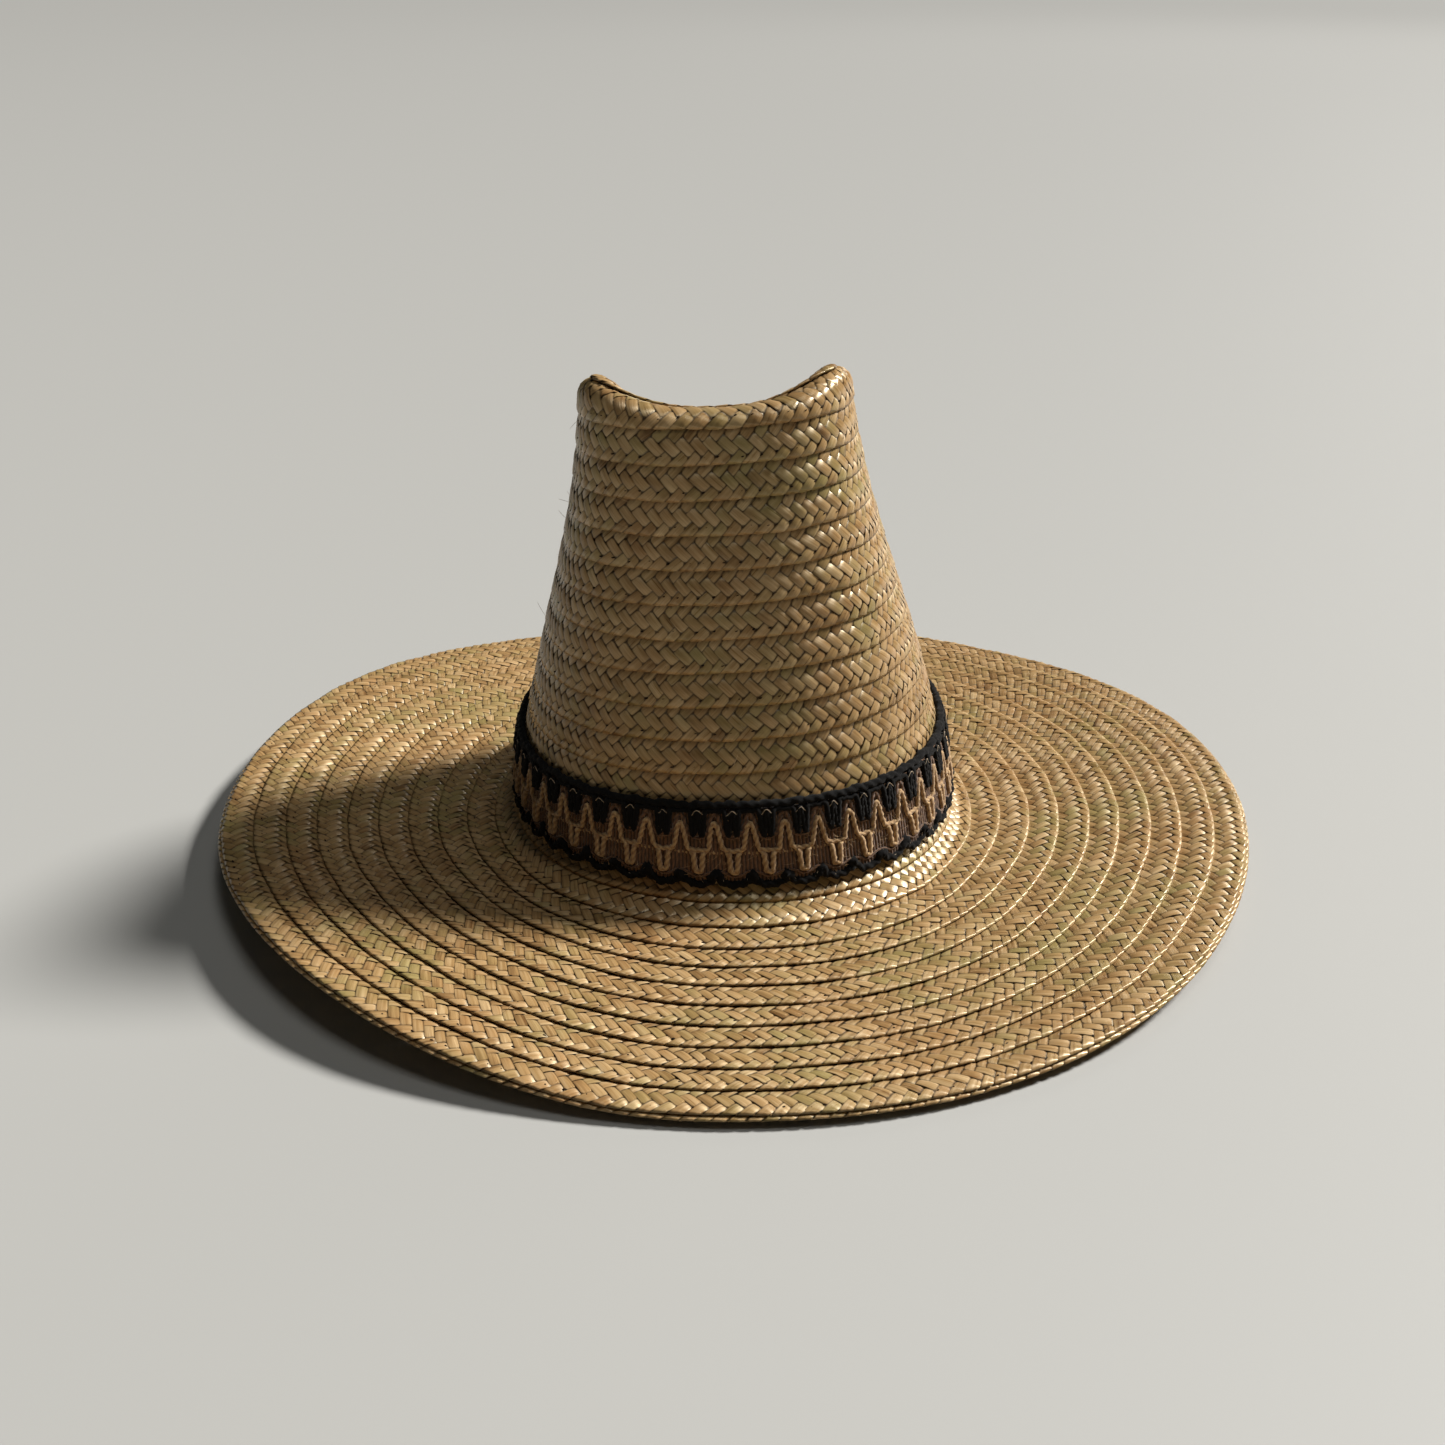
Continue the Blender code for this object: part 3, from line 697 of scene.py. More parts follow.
def straw_material(name, finish):
    """Plaited palm-leaf straw, sun-bleached and pressed: satin, with fine ribs along each strand."""
    material, tree = new_material(name)
    look = add_node(tree, "ShaderNodeAttribute", {"attribute_name": "look"})
    parts = add_node(tree, "ShaderNodeSeparateXYZ", None, {0: look.outputs["Vector"]})
    tone, hue, unshaded_share = parts.outputs
    fibre = add_node(tree, "ShaderNodeUVMap", {"uv_map": "Fibre"})
    # Leaf ribs about 0.35 mm apart and streaks about 9 mm long
    ribs_at = add_node(tree, "ShaderNodeMapping", {"Scale": (110.0, 2900.0, 1.0)}, {"Vector": fibre.outputs[0]})
    rib_noise = {"Scale": 1.0, "Detail": 2.0, "Roughness": 0.6}
    ribs = add_node(tree, "ShaderNodeTexNoise", rib_noise, {"Vector": ribs_at.outputs[0]})
    # Broad stains along a strand, 1.2 mm across and 25 mm long
    stain_at = add_node(tree, "ShaderNodeMapping", {"Scale": (40.0, 800.0, 1.0)}, {"Vector": fibre.outputs[0]})
    stain_noise = {"Scale": 1.0, "Detail": 3.0, "Roughness": 0.55}
    stain = add_node(tree, "ShaderNodeTexNoise", stain_noise, {"Vector": stain_at.outputs[0]})
    # Patches about 45 mm across where the sun has turned the straw
    place = add_node(tree, "ShaderNodeTexCoord")
    patch_noise = {"Scale": 22.0, "Detail": 3.0, "Roughness": 0.6}
    patch = add_node(tree, "ShaderNodeTexNoise", patch_noise, {"Vector": place.outputs["Object"]})
    # Each strand's own tone, with its stain on top
    stained = add_node(tree, "ShaderNodeMapRange", {1: 0.3, 2: 0.7, 4: 0.45}, {0: stain.outputs["Fac"]})
    level = add_node(tree, "ShaderNodeMath", {"operation": "MULTIPLY_ADD", 1: 0.55}, {0: tone, 2: stained.outputs[0]})
    ramp = add_node(tree, "ShaderNodeValToRGB", None, {0: level.outputs[0]})
    stops = ramp.color_ramp.elements
    stops[0].position, stops[0].color = 0.12, rgba(finish.straw_deep)
    stops[1].position, stops[1].color = 0.92, rgba(finish.straw_pale)
    stops.new(0.45).color = rgba(finish.straw_mid)
    turned = add_node(tree, "ShaderNodeMapRange", {1: 0.35, 2: 0.65, 3: -0.35, 4: 0.35}, {0: patch.outputs["Fac"]})
    cast = add_node(tree, "ShaderNodeMath", {"operation": "ADD"}, {0: hue, 1: turned.outputs[0]})
    # Green and russet casts, darker ribs, and painted shade between the strands and under lapped edges
    surface = ramp.outputs[0]
    for source, none_at, full_at, amount, tint in (
        (cast.outputs[0], 0.55, 1.1, 0.65, finish.straw_green),
        (cast.outputs[0], 0.45, -0.1, 0.38, finish.straw_red),
        (ribs.outputs["Fac"], 0.35, 0.75, 0.40, finish.straw_deep),
        (unshaded_share, 0.5, 0.0, 0.92, finish.straw_crevice),
    ):
        share = add_node(tree, "ShaderNodeMapRange", {1: none_at, 2: full_at, 4: amount}, {0: source})
        tinted = {"data_type": "RGBA", 7: rgba(tint)}
        surface = add_node(tree, "ShaderNodeMix", tinted, {0: share.outputs[0], 6: surface}).outputs[2]
    bump = add_node(tree, "ShaderNodeBump", {"Strength": 0.55, "Distance": 0.00012}, {"Height": ribs.outputs["Fac"]})
    worn = add_node(tree, "ShaderNodeMapRange", {1: 0.3, 2: 0.7, 3: 0.26, 4: 0.40}, {0: stain.outputs["Fac"]})
    # Gloss runs across the ribs, so strands shine or not by the way they lie to the light
    grain = add_node(tree, "ShaderNodeTangent", {"direction_type": "UV_MAP", "uv_map": "Fibre"})
    gloss = {
        "IOR": 1.5,
        "Specular IOR Level": 1.0,
        "Specular Tint": (1.0, 0.86, 0.60, 1.0),
        "Anisotropic": 0.88,
        "Anisotropic Rotation": 0.25,
    }
    links = {
        "Base Color": surface, "Roughness": worn.outputs[0], "Normal": bump.outputs[0], "Tangent": grain.outputs[0],
    }
    shader = add_node(tree, "ShaderNodeBsdfPrincipled", gloss, links)
    add_node(tree, "ShaderNodeOutputMaterial", None, {"Surface": shader.outputs[0]})
    return material


def yarn_material(name, light, dark, sheen, rough):
    """Spun yarn: matte, fuzzy, with painted shade between the plies, and fine fibres across 0.3 mm."""
    material, tree = new_material(name)
    look = add_node(tree, "ShaderNodeAttribute", {"attribute_name": "look"})
    place = add_node(tree, "ShaderNodeTexCoord")
    fine = {"Scale": 3200.0, "Detail": 2.0, "Roughness": 0.6}
    fibre = add_node(tree, "ShaderNodeTexNoise", fine, {"Vector": place.outputs["Object"]})
    broad = add_node(tree, "ShaderNodeTexNoise", {"Scale": 260.0, "Detail": 2.0}, {"Vector": place.outputs["Object"]})
    # Painted shade: darker where the look attribute is low, in the hollows between plies, ribs and stitches
    deep = add_node(tree, "ShaderNodeMapRange", {1: 0.7, 2: 0.0, 4: 0.85}, {0: look.outputs["Fac"]})
    plies = {"data_type": "RGBA", 6: rgba(light), 7: rgba(dark)}
    surface = add_node(tree, "ShaderNodeMix", plies, {0: deep.outputs[0]}).outputs[2]
    for source, none_at, full_at, amount in ((fibre, 0.45, 0.75, 0.6), (broad, 0.35, 0.7, 0.35)):
        share = add_node(tree, "ShaderNodeMapRange", {1: none_at, 2: full_at, 4: amount}, {0: source.outputs["Fac"]})
        tinted = {"data_type": "RGBA", 7: rgba(dark)}
        surface = add_node(tree, "ShaderNodeMix", tinted, {0: share.outputs[0], 6: surface}).outputs[2]
    bump = add_node(tree, "ShaderNodeBump", {"Strength": 0.7, "Distance": 0.0002}, {"Height": fibre.outputs["Fac"]})
    matte = {
        "Roughness": rough, "IOR": 1.45, "Specular IOR Level": 0.2, "Sheen Weight": sheen, "Sheen Roughness": 0.6,
    }
    shader = add_node(tree, "ShaderNodeBsdfPrincipled", matte, {"Base Color": surface, "Normal": bump.outputs[0]})
    add_node(tree, "ShaderNodeOutputMaterial", None, {"Surface": shader.outputs[0]})
    return material


def cloth_material(name, finish):
    """Plain-woven cotton tape: threads 0.6 mm apart both ways, matte."""
    material, tree = new_material(name)
    weave_at = add_node(tree, "ShaderNodeUVMap", {"uv_map": "Weave"})
    turns = 2.0 * math.pi / (0.6 * MM)
    parts = add_node(tree, "ShaderNodeSeparateXYZ", None, {0: weave_at.outputs[0]})
    waves = []
    for part in parts.outputs[:2]:
        scaled = add_node(tree, "ShaderNodeMath", {"operation": "MULTIPLY", 1: turns}, {0: part})
        waves.append(add_node(tree, "ShaderNodeMath", {"operation": "SINE"}, {0: scaled.outputs[0]}).outputs[0])
    over = add_node(tree, "ShaderNodeMath", {"operation": "MULTIPLY"}, {0: waves[0], 1: waves[1]})
    place = add_node(tree, "ShaderNodeTexCoord")
    mottle = add_node(tree, "ShaderNodeTexNoise", {"Scale": 90.0, "Detail": 3.0}, {"Vector": place.outputs["Object"]})
    worn = add_node(tree, "ShaderNodeMapRange", {1: 0.35, 2: 0.7, 4: 0.45}, {0: mottle.outputs["Fac"]})
    stained = {"data_type": "RGBA", 6: rgba(finish.cloth), 7: rgba(finish.straw_mid)}
    base = add_node(tree, "ShaderNodeMix", stained, {0: worn.outputs[0]})
    # Painted shade in the gaps between the threads
    between = add_node(tree, "ShaderNodeMapRange", {1: 1.0, 2: -1.0, 4: 0.4}, {0: over.outputs[0]})
    shaded = {"data_type": "RGBA", 7: rgba(finish.straw_deep)}
    woven = add_node(tree, "ShaderNodeMix", shaded, {0: between.outputs[0], 6: base.outputs[2]})
    bump = add_node(tree, "ShaderNodeBump", {"Strength": 0.6, "Distance": 0.0002}, {"Height": over.outputs[0]})
    matte = {"Roughness": 0.88, "IOR": 1.45, "Specular IOR Level": 0.3, "Sheen Weight": 0.15, "Sheen Roughness": 0.5}
    links = {"Base Color": woven.outputs[2], "Normal": bump.outputs[0]}
    shader = add_node(tree, "ShaderNodeBsdfPrincipled", matte, links)
    add_node(tree, "ShaderNodeOutputMaterial", None, {"Surface": shader.outputs[0]})
    return material


def floor_material(name, finish):
    """Matt wall paint on board: even and slightly soft in its gloss."""
    material, tree = new_material(name)
    shader = add_node(tree, "ShaderNodeBsdfPrincipled", {"Base Color": rgba(finish.floor), "Roughness": 0.55})
    add_node(tree, "ShaderNodeOutputMaterial", None, {"Surface": shader.outputs[0]})
    return material


def shared(name, make, *details):
    """The material of that name, made when first asked for."""
    return bpy.data.materials.get(name) or make(name, *details)


# Hatband paths


def band_angles(face, band):
    """Angles and lengths round the hat at the band's middle."""
    return face.ring(band.low + 0.5 * band.height, 3.0 * MM)


def band_offset(plait, face):
    """Offset of the straw's highest point under the band."""
    return plait.thickness + face.lap_rise * plait.width / plait.crown_course + plait.sew_gap


def scallop(phase):
    """Course coordinate of the scalloped lower cord: round below each tab, pointed between them."""
    return (-3.9 + 5.2 * (1.0 - np.abs(np.cos(np.pi * phase)))) * MM


def closed_path(face, band, course_of, offset_of, step, seed, sway=0.25 * MM):
    """Angles, courses and offsets along a pattern yarn, evenly spaced and once round the hat.

    course_of and offset_of take the phase, which counts pattern repeats; slow sines move the yarn about.
    """
    angles, run = band_angles(face, band)
    phase = np.linspace(0.0, band.repeats, band.repeats * 400 + 1)
    along = phase / band.repeats * run[-1]
    wander = ripple(along, run[-1], sway, (41, 67, 90, 133), seed)
    shift = ripple(along, run[-1], sway, (37, 59, 97, 151), seed + 1)
    along = along + shift
    course = course_of(phase) + wander
    height = offset_of(phase)
    steps = np.sqrt(np.diff(along) ** 2 + np.diff(course) ** 2 + np.diff(height) ** 2)
    slant = np.concatenate([[0.0], np.cumsum(steps)])
    total = round(slant[-1] / step)
    even = np.linspace(0.0, slant[-1], total, endpoint=False)
    along, course, height = (np.interp(even, slant, part) for part in (along, course, height))
    return np.interp(np.mod(along, run[-1]), run, angles), course, height


def curve_through(phase, knots, values):
    """Smooth periodic curve through values at knots in 0..1, blended by cosine steps."""
    p = np.mod(phase, 1.0)
    knots = np.append(knots, 1.0)
    values = np.append(values, values[0])
    k = np.clip(np.searchsorted(knots, p, side="right") - 1, 0, len(knots) - 2)
    t = smooth_step((p - knots[k]) / (knots[k + 1] - knots[k]))
    return values[k] * (1.0 - t) + values[k + 1] * t


# Operators


class HAT_OT_crown_wall(bpy.types.Operator):
    """Weave and lap the courses of the crown's wall"""

    bl_idname = "hat.crown_wall"
    bl_label = "Crown wall"

    def execute(self, context):
        face, plait, _, finish = hat_settings(context)
        straw = shared("Palm straw plait", straw_material, finish)
        for part, courses in enumerate(((0, 1, 2), (3, 4, 5), (6, 7, 8, 9))):
            made = [
                lapped_course(
                    face, plait, plait.crown_first + plait.crown_course * k, plait.weave_width, plait.crown_course,
                    100 + 10 * k,
                )
                for k in courses
            ]
            woven_piece(f"crown_wall_{part + 1}", made, straw, ["crown_side"], 11 + part)
        return {"FINISHED"}


class HAT_OT_crown_top(bpy.types.Operator):
    """Weave the courses that run over the lip and in to the centre of the creased top"""

    bl_idname = "hat.crown_top"
    bl_label = "Crown top"

    def execute(self, context):
        face, plait, _, finish = hat_settings(context)
        straw = shared("Palm straw plait", straw_material, finish)
        rings = int((plait.tip_length - 0.5 * plait.width) / plait.crown_course) + 1
        made = []
        for k in range(rings):
            edge = plait.crown_first + plait.crown_course * (plait.crown_courses + k)
            width = min(plait.weave_width, face.total - edge - 0.3 * MM)
            made.append(lapped_course(face, plait, edge, width, plait.crown_course, 300 + 10 * k))
        woven_piece("crown_top", made, straw, ["crown_tip"], 21)
        return {"FINISHED"}


class HAT_OT_brim(bpy.types.Operator):
    """Weave and lap the courses of the brim"""

    bl_idname = "hat.brim"
    bl_label = "Brim"

    def execute(self, context):
        face, plait, _, finish = hat_settings(context)
        straw = shared("Palm straw plait", straw_material, finish)
        for part, courses in enumerate(((1, 2, 3), (4, 5), (6, 7), (8, 9), (10,), (11,))):
            made = [
                lapped_course(face, plait, -plait.brim_course * k, plait.weave_width, plait.brim_course, 500 + 10 * k)
                for k in courses
            ]
            woven_piece(f"brim_{part + 1}", made, straw, ["brim"], 31 + part)
        return {"FINISHED"}


class HAT_OT_brim_edge(bpy.types.Operator):
    """Weave the second course that is sewn under the brim's edge"""

    bl_idname = "hat.brim_edge"
    bl_label = "Brim edge"

    def execute(self, context):
        face, plait, _, finish = hat_settings(context)
        straw = shared("Palm straw edge plait", straw_material, finish)
        width = plait.width + plait.edge_overhang
        edge = -plait.brim_course * plait.brim_courses - plait.edge_overhang
        inner = -0.5 * plait.sew_gap - 0.5 * plait.thickness
        outer = inner + face.flap(plait, plait.brim_course) * width / plait.width
        made = [plait_course(face, plait, edge, width, inner, outer, 800, calm=0.3)]
        woven_piece("brim_edge_under", made, straw, ["brim_edge"], 41)
        return {"FINISHED"}


class HAT_OT_stitches(bpy.types.Operator):
    """Sew the courses together with a dark thread that shows as short stitches"""

    bl_idname = "hat.stitches"
    bl_label = "Sewing stitches"

    def execute(self, context):
        face, plait, _, finish = hat_settings(context)
        thread = shared("Dark sewing thread", yarn_material, finish.jute_dark, finish.straw_crevice, 0.0, 0.8)
        rng = np.random.default_rng(61)
        # Six courses more reach round the lip and down into the crease
        sewn = range(plait.crown_courses + 6)
        crown = [(plait.crown_first + plait.crown_course * k, plait.crown_course) for k in sewn]
        brim = [(-plait.brim_course * k, plait.brim_course) for k in range(1, plait.brim_courses + 1)]
        for name, rows, nodes in (("crown_stitches", crown, ["crown_side"]), ("brim_stitches", brim, ["brim"])):
            ends = [[], [], []]
            for edge, course in rows:
                top = 0.5 * plait.thickness + face.flap(plait, course) - face.lap_rise * plait.stitch_inset / course
                top = top + 0.6 * plait.weave_height + plait.strand_half_thickness + 0.3 * plait.camber
                angles, run = face.ring(edge + plait.stitch_inset, top)
                number_of = round(run[-1] / plait.stitch_spacing)
                along = (np.arange(number_of) + rng.uniform(-0.25, 0.25, number_of)) * run[-1] / number_of
                at = edge + plait.stitch_inset + rng.uniform(-0.4 * MM, 0.4 * MM, number_of)
                half = 0.7 * MM * rng.uniform(0.7, 1.2, number_of)
                for end, side, lift in zip(ends, (-1.0, 0.0, 1.0), (-0.35 * MM, 0.30 * MM, -0.35 * MM)):
                    turned = np.interp(np.mod(along + side * half, run[-1]), run, angles)
                    end.append(face.place(turned, at + 0.25 * side * half, top + lift))
            hairs(name, *(np.concatenate(end) for end in ends), 0.32 * MM, thread, "straw", nodes)
        return {"FINISHED"}


class HAT_OT_sweatband(bpy.types.Operator):
    """Sew the cloth sweatband inside the head opening"""

    bl_idname = "hat.sweatband"
    bl_label = "Sweatband"

    def execute(self, context):
        face, plait, band, finish = hat_settings(context)
        cloth = shared("Cotton tape, woven", cloth_material, finish)
        low = 0.3 * plait.crown_course
        columns, rows = 480, 12
        across = np.linspace(0.0, 1.0, rows)
        # Section: out face up, rounded over by its ends, and back face down; it puckers in slow waves
        course = low + band.sweatband_height * np.concatenate([across, across[::-1]])
        inside = -SWEATBAND_GAP - band.sweatband_thickness
        depth = np.repeat([-SWEATBAND_GAP, inside], rows)
        angles, run = face.ring(low, 0.0)
        along = np.linspace(0.0, run[-1], columns, endpoint=False)[:, None]
        angle = np.interp(along, run, angles)
        pucker = ripple(along, run[-1], 0.12 * MM, (29, 47, 71), 5) * np.concatenate([across, across[::-1]])
        points = face.place(angle, course, depth - np.abs(pucker))
        quads = grid_faces(columns, 2 * rows, True, True)
        u = np.append(along[:, 0], run[-1])
        v = np.append(np.concatenate([across, 2.0 - across[::-1]]), 2.0) * band.sweatband_height
        corner_u = np.stack([u[:-1], u[1:], u[1:], u[:-1]], -1)[:, None]
        corner_v = np.stack([v[:-1], v[:-1], v[1:], v[1:]], -1)[None]
        weave = np.stack(np.broadcast_arrays(corner_u, corner_v), -1).reshape(-1, 4, 2)
        piece = add_piece(
            "sweatband_tape", points, [quads], cloth, ["sweatband"], {"Weave": [weave]}
        )
        # Running stitch along the lower edge
        thread = shared("Cotton thread", yarn_material, finish.pale_thread, finish.straw_mid, 0.1, 0.8)
        starts = np.arange(0.0, run[-1] - SWEATBAND_STITCH, SWEATBAND_STITCH)
        ends = [
            face.place(np.interp(starts + forth * MM, run, angles), low + 2.0 * MM, inside - proud * MM)
            for forth, proud in ((0.0, -0.2), (1.25, 0.5), (2.5, -0.2))
        ]
        stitches = hairs("sweatband_stitches", *ends, 0.22 * MM, thread, "sweatband_cloth")
        return {"FINISHED"}


class HAT_OT_band_ground(bpy.types.Operator):
    """Knit the ribbed brown ground of the hatband"""

    bl_idname = "hat.band_ground"
    bl_label = "Hatband ground"

    def execute(self, context):
        face, plait, band, finish = hat_settings(context)
        jute = shared("Jute yarn, knitted", yarn_material, finish.jute, finish.jute_dark, 0.3, 0.95)
        angles, run = band_angles(face, band)
        ribs = 9
        columns, rows = band.repeats * ribs * 5, 22
        phase = np.arange(columns)[:, None] / (ribs * 5)
        along = phase / band.repeats * run[-1]
        angle = np.interp(along, run, angles)
        across = np.linspace(0.0, 1.0, rows)
        top = band.low + band.height
        low = scallop(phase)
        course = low + (top - low) * across
        rib = np.abs(np.sin(np.pi * phase * ribs))
        stitch = 0.5 + 0.5 * np.cos(2.0 * np.pi * course / (1.9 * MM) + np.pi * np.floor(phase * ribs))
        swell = (0.45 + 0.35 * stitch) * rib * 0.75 * MM
        rng = np.random.default_rng(9)
        swell = swell + rng.uniform(0.0, 0.10 * MM, swell.shape)
        inner = band_offset(plait, face)
        outer = inner + band.thickness - 0.45 * MM + swell
        course = np.concatenate([course, course[:, ::-7]], axis=1)
        offset = np.concatenate([outer, np.full((columns, course.shape[1] - rows), inner)], axis=1)
        points = face.place(angle, course, offset)
        # Height of the ribs and stitches, turned into painted shade in the hollows by the yarn's colour; the back
        # face gets full painted shade
        level = np.concatenate([rib * (0.4 + 0.6 * stitch), np.zeros((columns, course.shape[1] - rows))], axis=1)
        quads = grid_faces(columns, course.shape[1], True, True)
        piece = add_piece(
            "hatband_ground", points, [quads], jute, ["hatband_web"], None,
            np.repeat(level.reshape(-1, 1), 3, axis=1),
        )
        return {"FINISHED"}


class HAT_OT_band_cords(bpy.types.Operator):
    """Lay the black cords, the black tabs and the pale thread"""

    bl_idname = "hat.band_cords"
    bl_label = "Hatband cords and tabs"

    def execute(self, context):
        face, plait, band, finish = hat_settings(context)
        black = shared("Black wool yarn", yarn_material, finish.black_yarn, (0.001, 0.001, 0.001), 0.04, 0.95)
        pale = shared("Pale fine thread", yarn_material, finish.pale_thread, finish.jute, 0.1, 0.5)
        inner = band_offset(plait, face)
        web = inner + band.thickness
        top = band.low + band.height
        radius = band.cord_radius

        top_course = top + plait.sew_gap + radius
        upper = closed_path(
            face, band, lambda p: top_course + 0.25 * MM * np.cos(2.0 * np.pi * p),
            lambda p: np.full_like(p, inner + radius), 0.6 * MM, 3,
        )
        tube = sweep(face, *upper, radius, 12, 2, 4.2 * MM, 0.16, 0.10, 4)
        tube_piece("hatband_cord_top", [tube], black, ["hatband_top_cord"])
        lower = closed_path(face, band, scallop, lambda p: np.full_like(p, inner + radius), 0.6 * MM, 5)
        peak = np.clip((lower[1] - scallop(0.0)) / (scallop(0.5) - scallop(0.0)), 0.0, 1.0)
        knotted = radius * (1.0 + 0.55 * peak**3)[:, None]
        tube = sweep(face, *lower, knotted, 12, 2, 3.6 * MM, 0.20, 0.12, 6)
        tube_piece("hatband_cord_bottom", [tube], black, ["hatband_bottom_cord"])

        # Each tab is two loops of yarn side by side, four legs in the middle 45% of the repeat
        def tab_course(p):
            q = np.mod(p + 0.5, 1.0) - 0.5
            legs = 0.5 - 0.5 * np.cos(2.0 * np.pi * (q + 0.225) / 0.225)
            return top - 0.2 * MM - 9.0 * MM * legs * (np.abs(q) < 0.225)

        def tab_offset(p):
            q = np.mod(p + 0.5, 1.0) - 0.5
            return web + 0.35 * MM + 0.5 * MM * smooth_step((0.26 - np.abs(q)) / 0.06)

        tabs = closed_path(face, band, tab_course, tab_offset, 0.55 * MM, 7, 0.12 * MM)
        tube = sweep(face, *tabs, 0.92 * MM, 8, 2, 2.8 * MM, 0.15, 0.14, 8)
        tube_piece("hatband_tab_loops", [tube], black, ["hatband_tabs"])
        thread_top = closed_path(
            face, band,
            lambda p: top - 0.7 * MM + 0.9 * MM * np.cos(2.0 * np.pi * 3.0 * p),
            lambda p: web + 0.9 * MM + 0.75 * MM * np.cos(2.0 * np.pi * p), 0.5 * MM, 11,
        )
        thread_low = closed_path(
            face, band,
            lambda p: scallop(p) + 0.4 * MM + 1.0 * MM * np.cos(2.0 * np.pi * 3.0 * p),
            lambda p: inner + 1.5 * MM + 0.8 * MM * np.cos(2.0 * np.pi * 1.5 * np.mod(p, 2.0)), 0.5 * MM, 13,
        )
        threads = [sweep(face, *path, 0.14 * MM, 5, seed=14) for path in (thread_top, thread_low)]
        tube_piece("hatband_pale_thread", threads, pale, [])
        return {"FINISHED"}


class HAT_OT_band_yarns(bpy.types.Operator):
    """Lay the tan arches, the tan tongues and the brown festoons of the hatband"""

    bl_idname = "hat.band_yarns"
    bl_label = "Hatband yarns"

    def execute(self, context):
        face, plait, band, finish = hat_settings(context)
        tan = shared("Tan jute yarn", yarn_material, finish.tan_yarn, finish.jute, 0.25, 0.9)
        jute = shared("Jute yarn, knitted", yarn_material, finish.jute, finish.jute_dark, 0.3, 0.95)
        web = band_offset(plait, face) + band.thickness
        yarn = band.yarn_radius

        # Arch between the tabs, run across below each tab
        arch_knots = np.array([0.0, 0.20, 0.29, 0.34, 0.38, 0.42, 0.50, 0.58, 0.62, 0.66, 0.71, 0.80])
        arch_heights = np.array([9.6, 9.8, 10.6, 13.4, 16.0, 18.4, 19.6, 18.4, 16.0, 13.4, 10.6, 9.8]) * MM

        def arch_offset(p):
            return web + 0.25 * MM + 0.35 * MM * np.cos(2.0 * np.pi * (p - 0.5))

        arches = closed_path(
            face, band, lambda p: curve_through(p, arch_knots, arch_heights), arch_offset, 0.5 * MM, 21, 0.2 * MM
        )
        tube = sweep(face, *arches, yarn, 8, 2, 2.6 * MM, 0.20, 0.10, 22)
        tube_piece("hatband_yarn_arches", [tube], tan, ["hatband_upper_yarn"])

        # Tongue below each tab: down, round and up again, passing behind the ground between tongues
        def tongue_course(p):
            q = np.abs(np.mod(p + 0.5, 1.0) - 0.5)
            return (2.2 + 6.6 * smooth_step((q - 0.075) / 0.07)) * MM

        def tongue_offset(p):
            q = np.abs(np.mod(p + 0.5, 1.0) - 0.5)
            return web - 1.0 * MM + 1.45 * MM * smooth_step((0.20 - q) / 0.05)

        tongues = closed_path(face, band, tongue_course, tongue_offset, 0.5 * MM, 23, 0.12 * MM)
        tube = sweep(face, *tongues, yarn * 1.12, 8, 2, 2.6 * MM, 0.18, 0.10, 24)
        tube_piece("hatband_yarn_tongues", [tube], tan, ["hatband_lower_yarn"])
        festoons = [
            closed_path(
                face, band, lambda p, m=middle, d=depth: (m - d * np.cos(2.0 * np.pi * p)) * MM,
                lambda p: np.full_like(p, web + 0.15 * MM), 0.6 * MM, seed, 0.2 * MM,
            )
            for middle, depth, seed in ((15.2, 1.0, 25), (1.4, 0.9, 27))
        ]
        hoops = closed_path(
            face, band, lambda p: curve_through(p, arch_knots, (arch_heights - 9.6 * MM) * 0.75 + 15.6 * MM),
            lambda p: np.full_like(p, web + 0.1 * MM), 0.5 * MM, 29, 0.2 * MM,
        )
        tubes = [sweep(face, *f, 0.42 * MM, 6, 2, 1.8 * MM, 0.15, 0.12, 30) for f in festoons]
        tubes.append(sweep(face, *hoops, 0.8 * MM, 8, 2, 2.6 * MM, 0.2, 0.12, 31))
        tube_piece("hatband_yarn_festoons", tubes, jute, [])
        return {"FINISHED"}


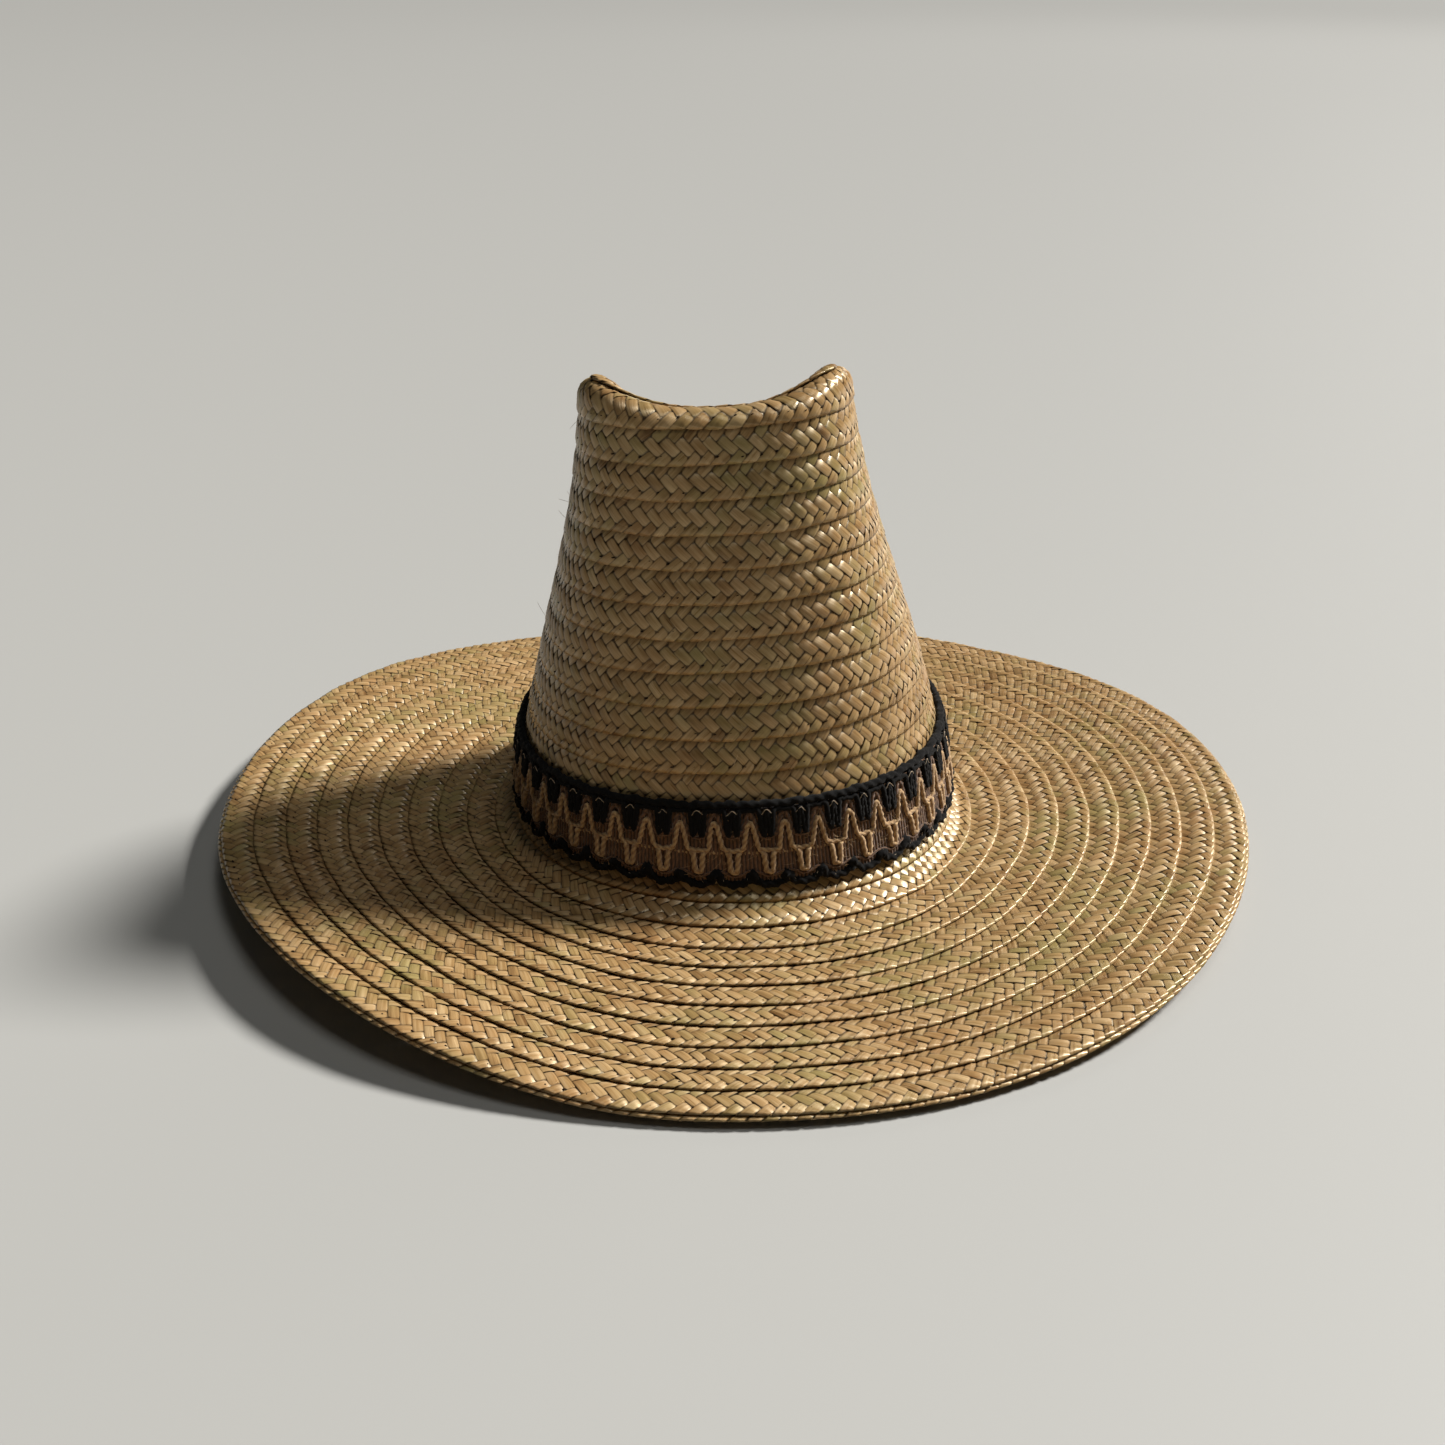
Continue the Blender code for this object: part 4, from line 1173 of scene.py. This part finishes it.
class HAT_OT_fibres(bpy.types.Operator):
    """Add the loose fibres of the yarns and of the straw"""

    bl_idname = "hat.fibres"
    bl_label = "Loose fibres"

    def execute(self, context):
        face, plait, band, finish = hat_settings(context)
        rng = np.random.default_rng(77)
        web = band_offset(plait, face) + band.thickness

        def strewn(number_of, low, high, offset, length, stand):
            """Curves from random places between two courses, along the face, their middles standing out."""
            angle = rng.uniform(0.0, 2.0 * np.pi, number_of)
            course = rng.uniform(low, high, number_of)
            way = rng.uniform(0.0, 2.0 * np.pi, number_of)
            far = length * rng.uniform(0.5, 1.0, number_of)
            out = stand * rng.uniform(0.0, 1.0, number_of)
            reach = face.place(angle, course, offset)
            radius = np.hypot(reach[:, 0], reach[:, 1])
            steps = [(0.0, -0.2 * MM), (0.5, 0.6), (1.0, 1.0)]
            return [
                face.place(
                    angle + far * part * np.cos(way) / radius, course + far * part * np.sin(way),
                    offset + (out * lift if part else lift),
                )
                for part, lift in steps
            ]

        black = bpy.data.materials["Black wool yarn"]
        tan = bpy.data.materials["Tan jute yarn"]
        straw = shared("Straw fibre", yarn_material, finish.straw_pale, finish.straw_mid, 0.1, 0.5)
        hairs("hatband_fuzz_tan", *strewn(1500, -0.001, 0.0225, web, 4.0 * MM, 1.8 * MM), 0.045 * MM, tan, "tan_yarn")
        low_black = strewn(420, -0.005, 0.001, web - 0.4 * MM, 2.6 * MM, 1.6 * MM)
        high_black = strewn(520, 0.017, 0.0265, web + 0.3 * MM, 2.8 * MM, 1.6 * MM)
        both = [np.concatenate(pair) for pair in zip(low_black, high_black)]
        hairs("hatband_fuzz_black", *both, 0.05 * MM, black, "black_yarn")
        lift = plait.thickness + 1.6 * MM
        wall = strewn(26, 0.03, 0.15, lift, 9.0 * MM, 5.0 * MM)
        edge = strewn(30, -0.125, -0.02, lift, 9.0 * MM, 3.0 * MM)
        loose = [np.concatenate(pair) for pair in zip(wall, edge)]
        hairs("straw_fibres", *loose, 0.07 * MM, straw, "straw")
        return {"FINISHED"}


class HAT_OT_stage(bpy.types.Operator):
    """Set the camera, the floor and the lights"""

    bl_idname = "hat.stage"
    bl_label = "Camera, floor and lights"

    def execute(self, context):
        scene, stage = context.scene, context.scene.hat_stage
        lens = bpy.data.cameras.new("hat_camera")
        lens.sensor_width = 36.0
        lens.lens = stage.lens
        lens.clip_start, lens.clip_end = 0.01, 100.0
        camera = bpy.data.objects.new("hat_camera", lens)
        camera.location = (stage.camera_x, stage.camera_y, stage.camera_z)
        camera.rotation_euler = (math.radians(90.0 - stage.camera_fall), 0.0, 0.0)
        scene.collection.objects.link(camera)
        scene.camera = camera

        half = 0.5 * stage.floor_size
        mesh = bpy.data.meshes.new("stage_floor")
        corners = [(x, y, -FLOOR_DEPTH) for x, y in ((-half, -half), (half, -half), (half, half), (-half, half))]
        mesh.from_pydata(corners, [], [(0, 1, 2, 3)])
        mesh.materials.append(floor_material("Matt floor paint", scene.hat_finish))
        floor = bpy.data.objects.new("stage_floor", mesh)
        scene.collection.objects.link(floor)

        def lamp(name, kind, place, aim, power, tint, **settings):
            """A light of that kind at its place, turned to its aim."""
            light = bpy.data.lights.new(name, kind)
            light.energy, light.color = power, tint
            for key, value in settings.items():
                setattr(light, key, value)
            holder = bpy.data.objects.new(name, light)
            holder.location = place
            holder.rotation_euler = (Vector(aim) - Vector(place)).to_track_quat("-Z", "Y").to_euler()
            scene.collection.objects.link(holder)

        middle = (0.0, 0.0, 0.05)
        lamp("key_right", "SUN", (4.2, 1.8, 4.0), (0.0, 0.0, 0.0), 6.2, (1.0, 0.975, 0.94), angle=math.radians(12.0))
        lamp(
            "overhead", "AREA", (1.0, -0.7, 5.0), middle, 45.0, (1.0, 0.99, 0.96),
            shape="RECTANGLE", size=1.6, size_y=1.6,
        )
        lamp(
            "back_low", "AREA", (3.2, 5.6, 3.0), (0.0, 2.4, 0.0), 30.0, (1.0, 0.98, 0.95),
            shape="RECTANGLE", size=2.0, size_y=1.2,
        )
        world = bpy.data.worlds.new("studio_air")
        world.use_nodes = True
        background = world.node_tree.nodes["Background"]
        background.inputs["Color"].default_value = (0.95, 1.0, 0.95, 1.0)
        background.inputs["Strength"].default_value = 0.028
        scene.world = world
        scene.view_settings.view_transform = "Standard"
        return {"FINISHED"}


STEPS = (
    HAT_OT_stage,
    HAT_OT_crown_wall,
    HAT_OT_crown_top,
    HAT_OT_brim,
    HAT_OT_brim_edge,
    HAT_OT_stitches,
    HAT_OT_sweatband,
    HAT_OT_band_ground,
    HAT_OT_band_cords,
    HAT_OT_band_yarns,
    HAT_OT_fibres,
)
SETTINGS = {
    "hat_shape": HatShape,
    "hat_plait": HatPlait,
    "hat_band": HatBand,
    "hat_finish": HatFinish,
    "hat_stage": HatStage,
}


class HAT_PT_panel(bpy.types.Panel):
    """Lists the hat's steps and settings"""

    bl_idname = "HAT_PT_panel"
    bl_label = "Straw Hat"
    bl_space_type = "VIEW_3D"
    bl_region_type = "UI"
    bl_category = "Straw Hat"

    def draw(self, context):
        for step in STEPS:
            self.layout.operator(step.bl_idname)
        for key, group in SETTINGS.items():
            box = self.layout.box()
            box.label(text=group.__doc__)
            for setting in group.__annotations__:
                box.prop(getattr(context.scene, key), setting)


def register():
    for item in (*SETTINGS.values(), *STEPS, HAT_PT_panel):
        bpy.utils.register_class(item)
    for key, group in SETTINGS.items():
        setattr(bpy.types.Scene, key, bpy.props.PointerProperty(type=group))


def unregister():
    for key in SETTINGS:
        delattr(bpy.types.Scene, key)
    for item in reversed((*SETTINGS.values(), *STEPS, HAT_PT_panel)):
        bpy.utils.unregister_class(item)


def main():
    register()
    for step in STEPS:
        area, name = step.bl_idname.split(".")
        getattr(getattr(bpy.ops, area), name)()


if __name__ == "__main__":
    main()
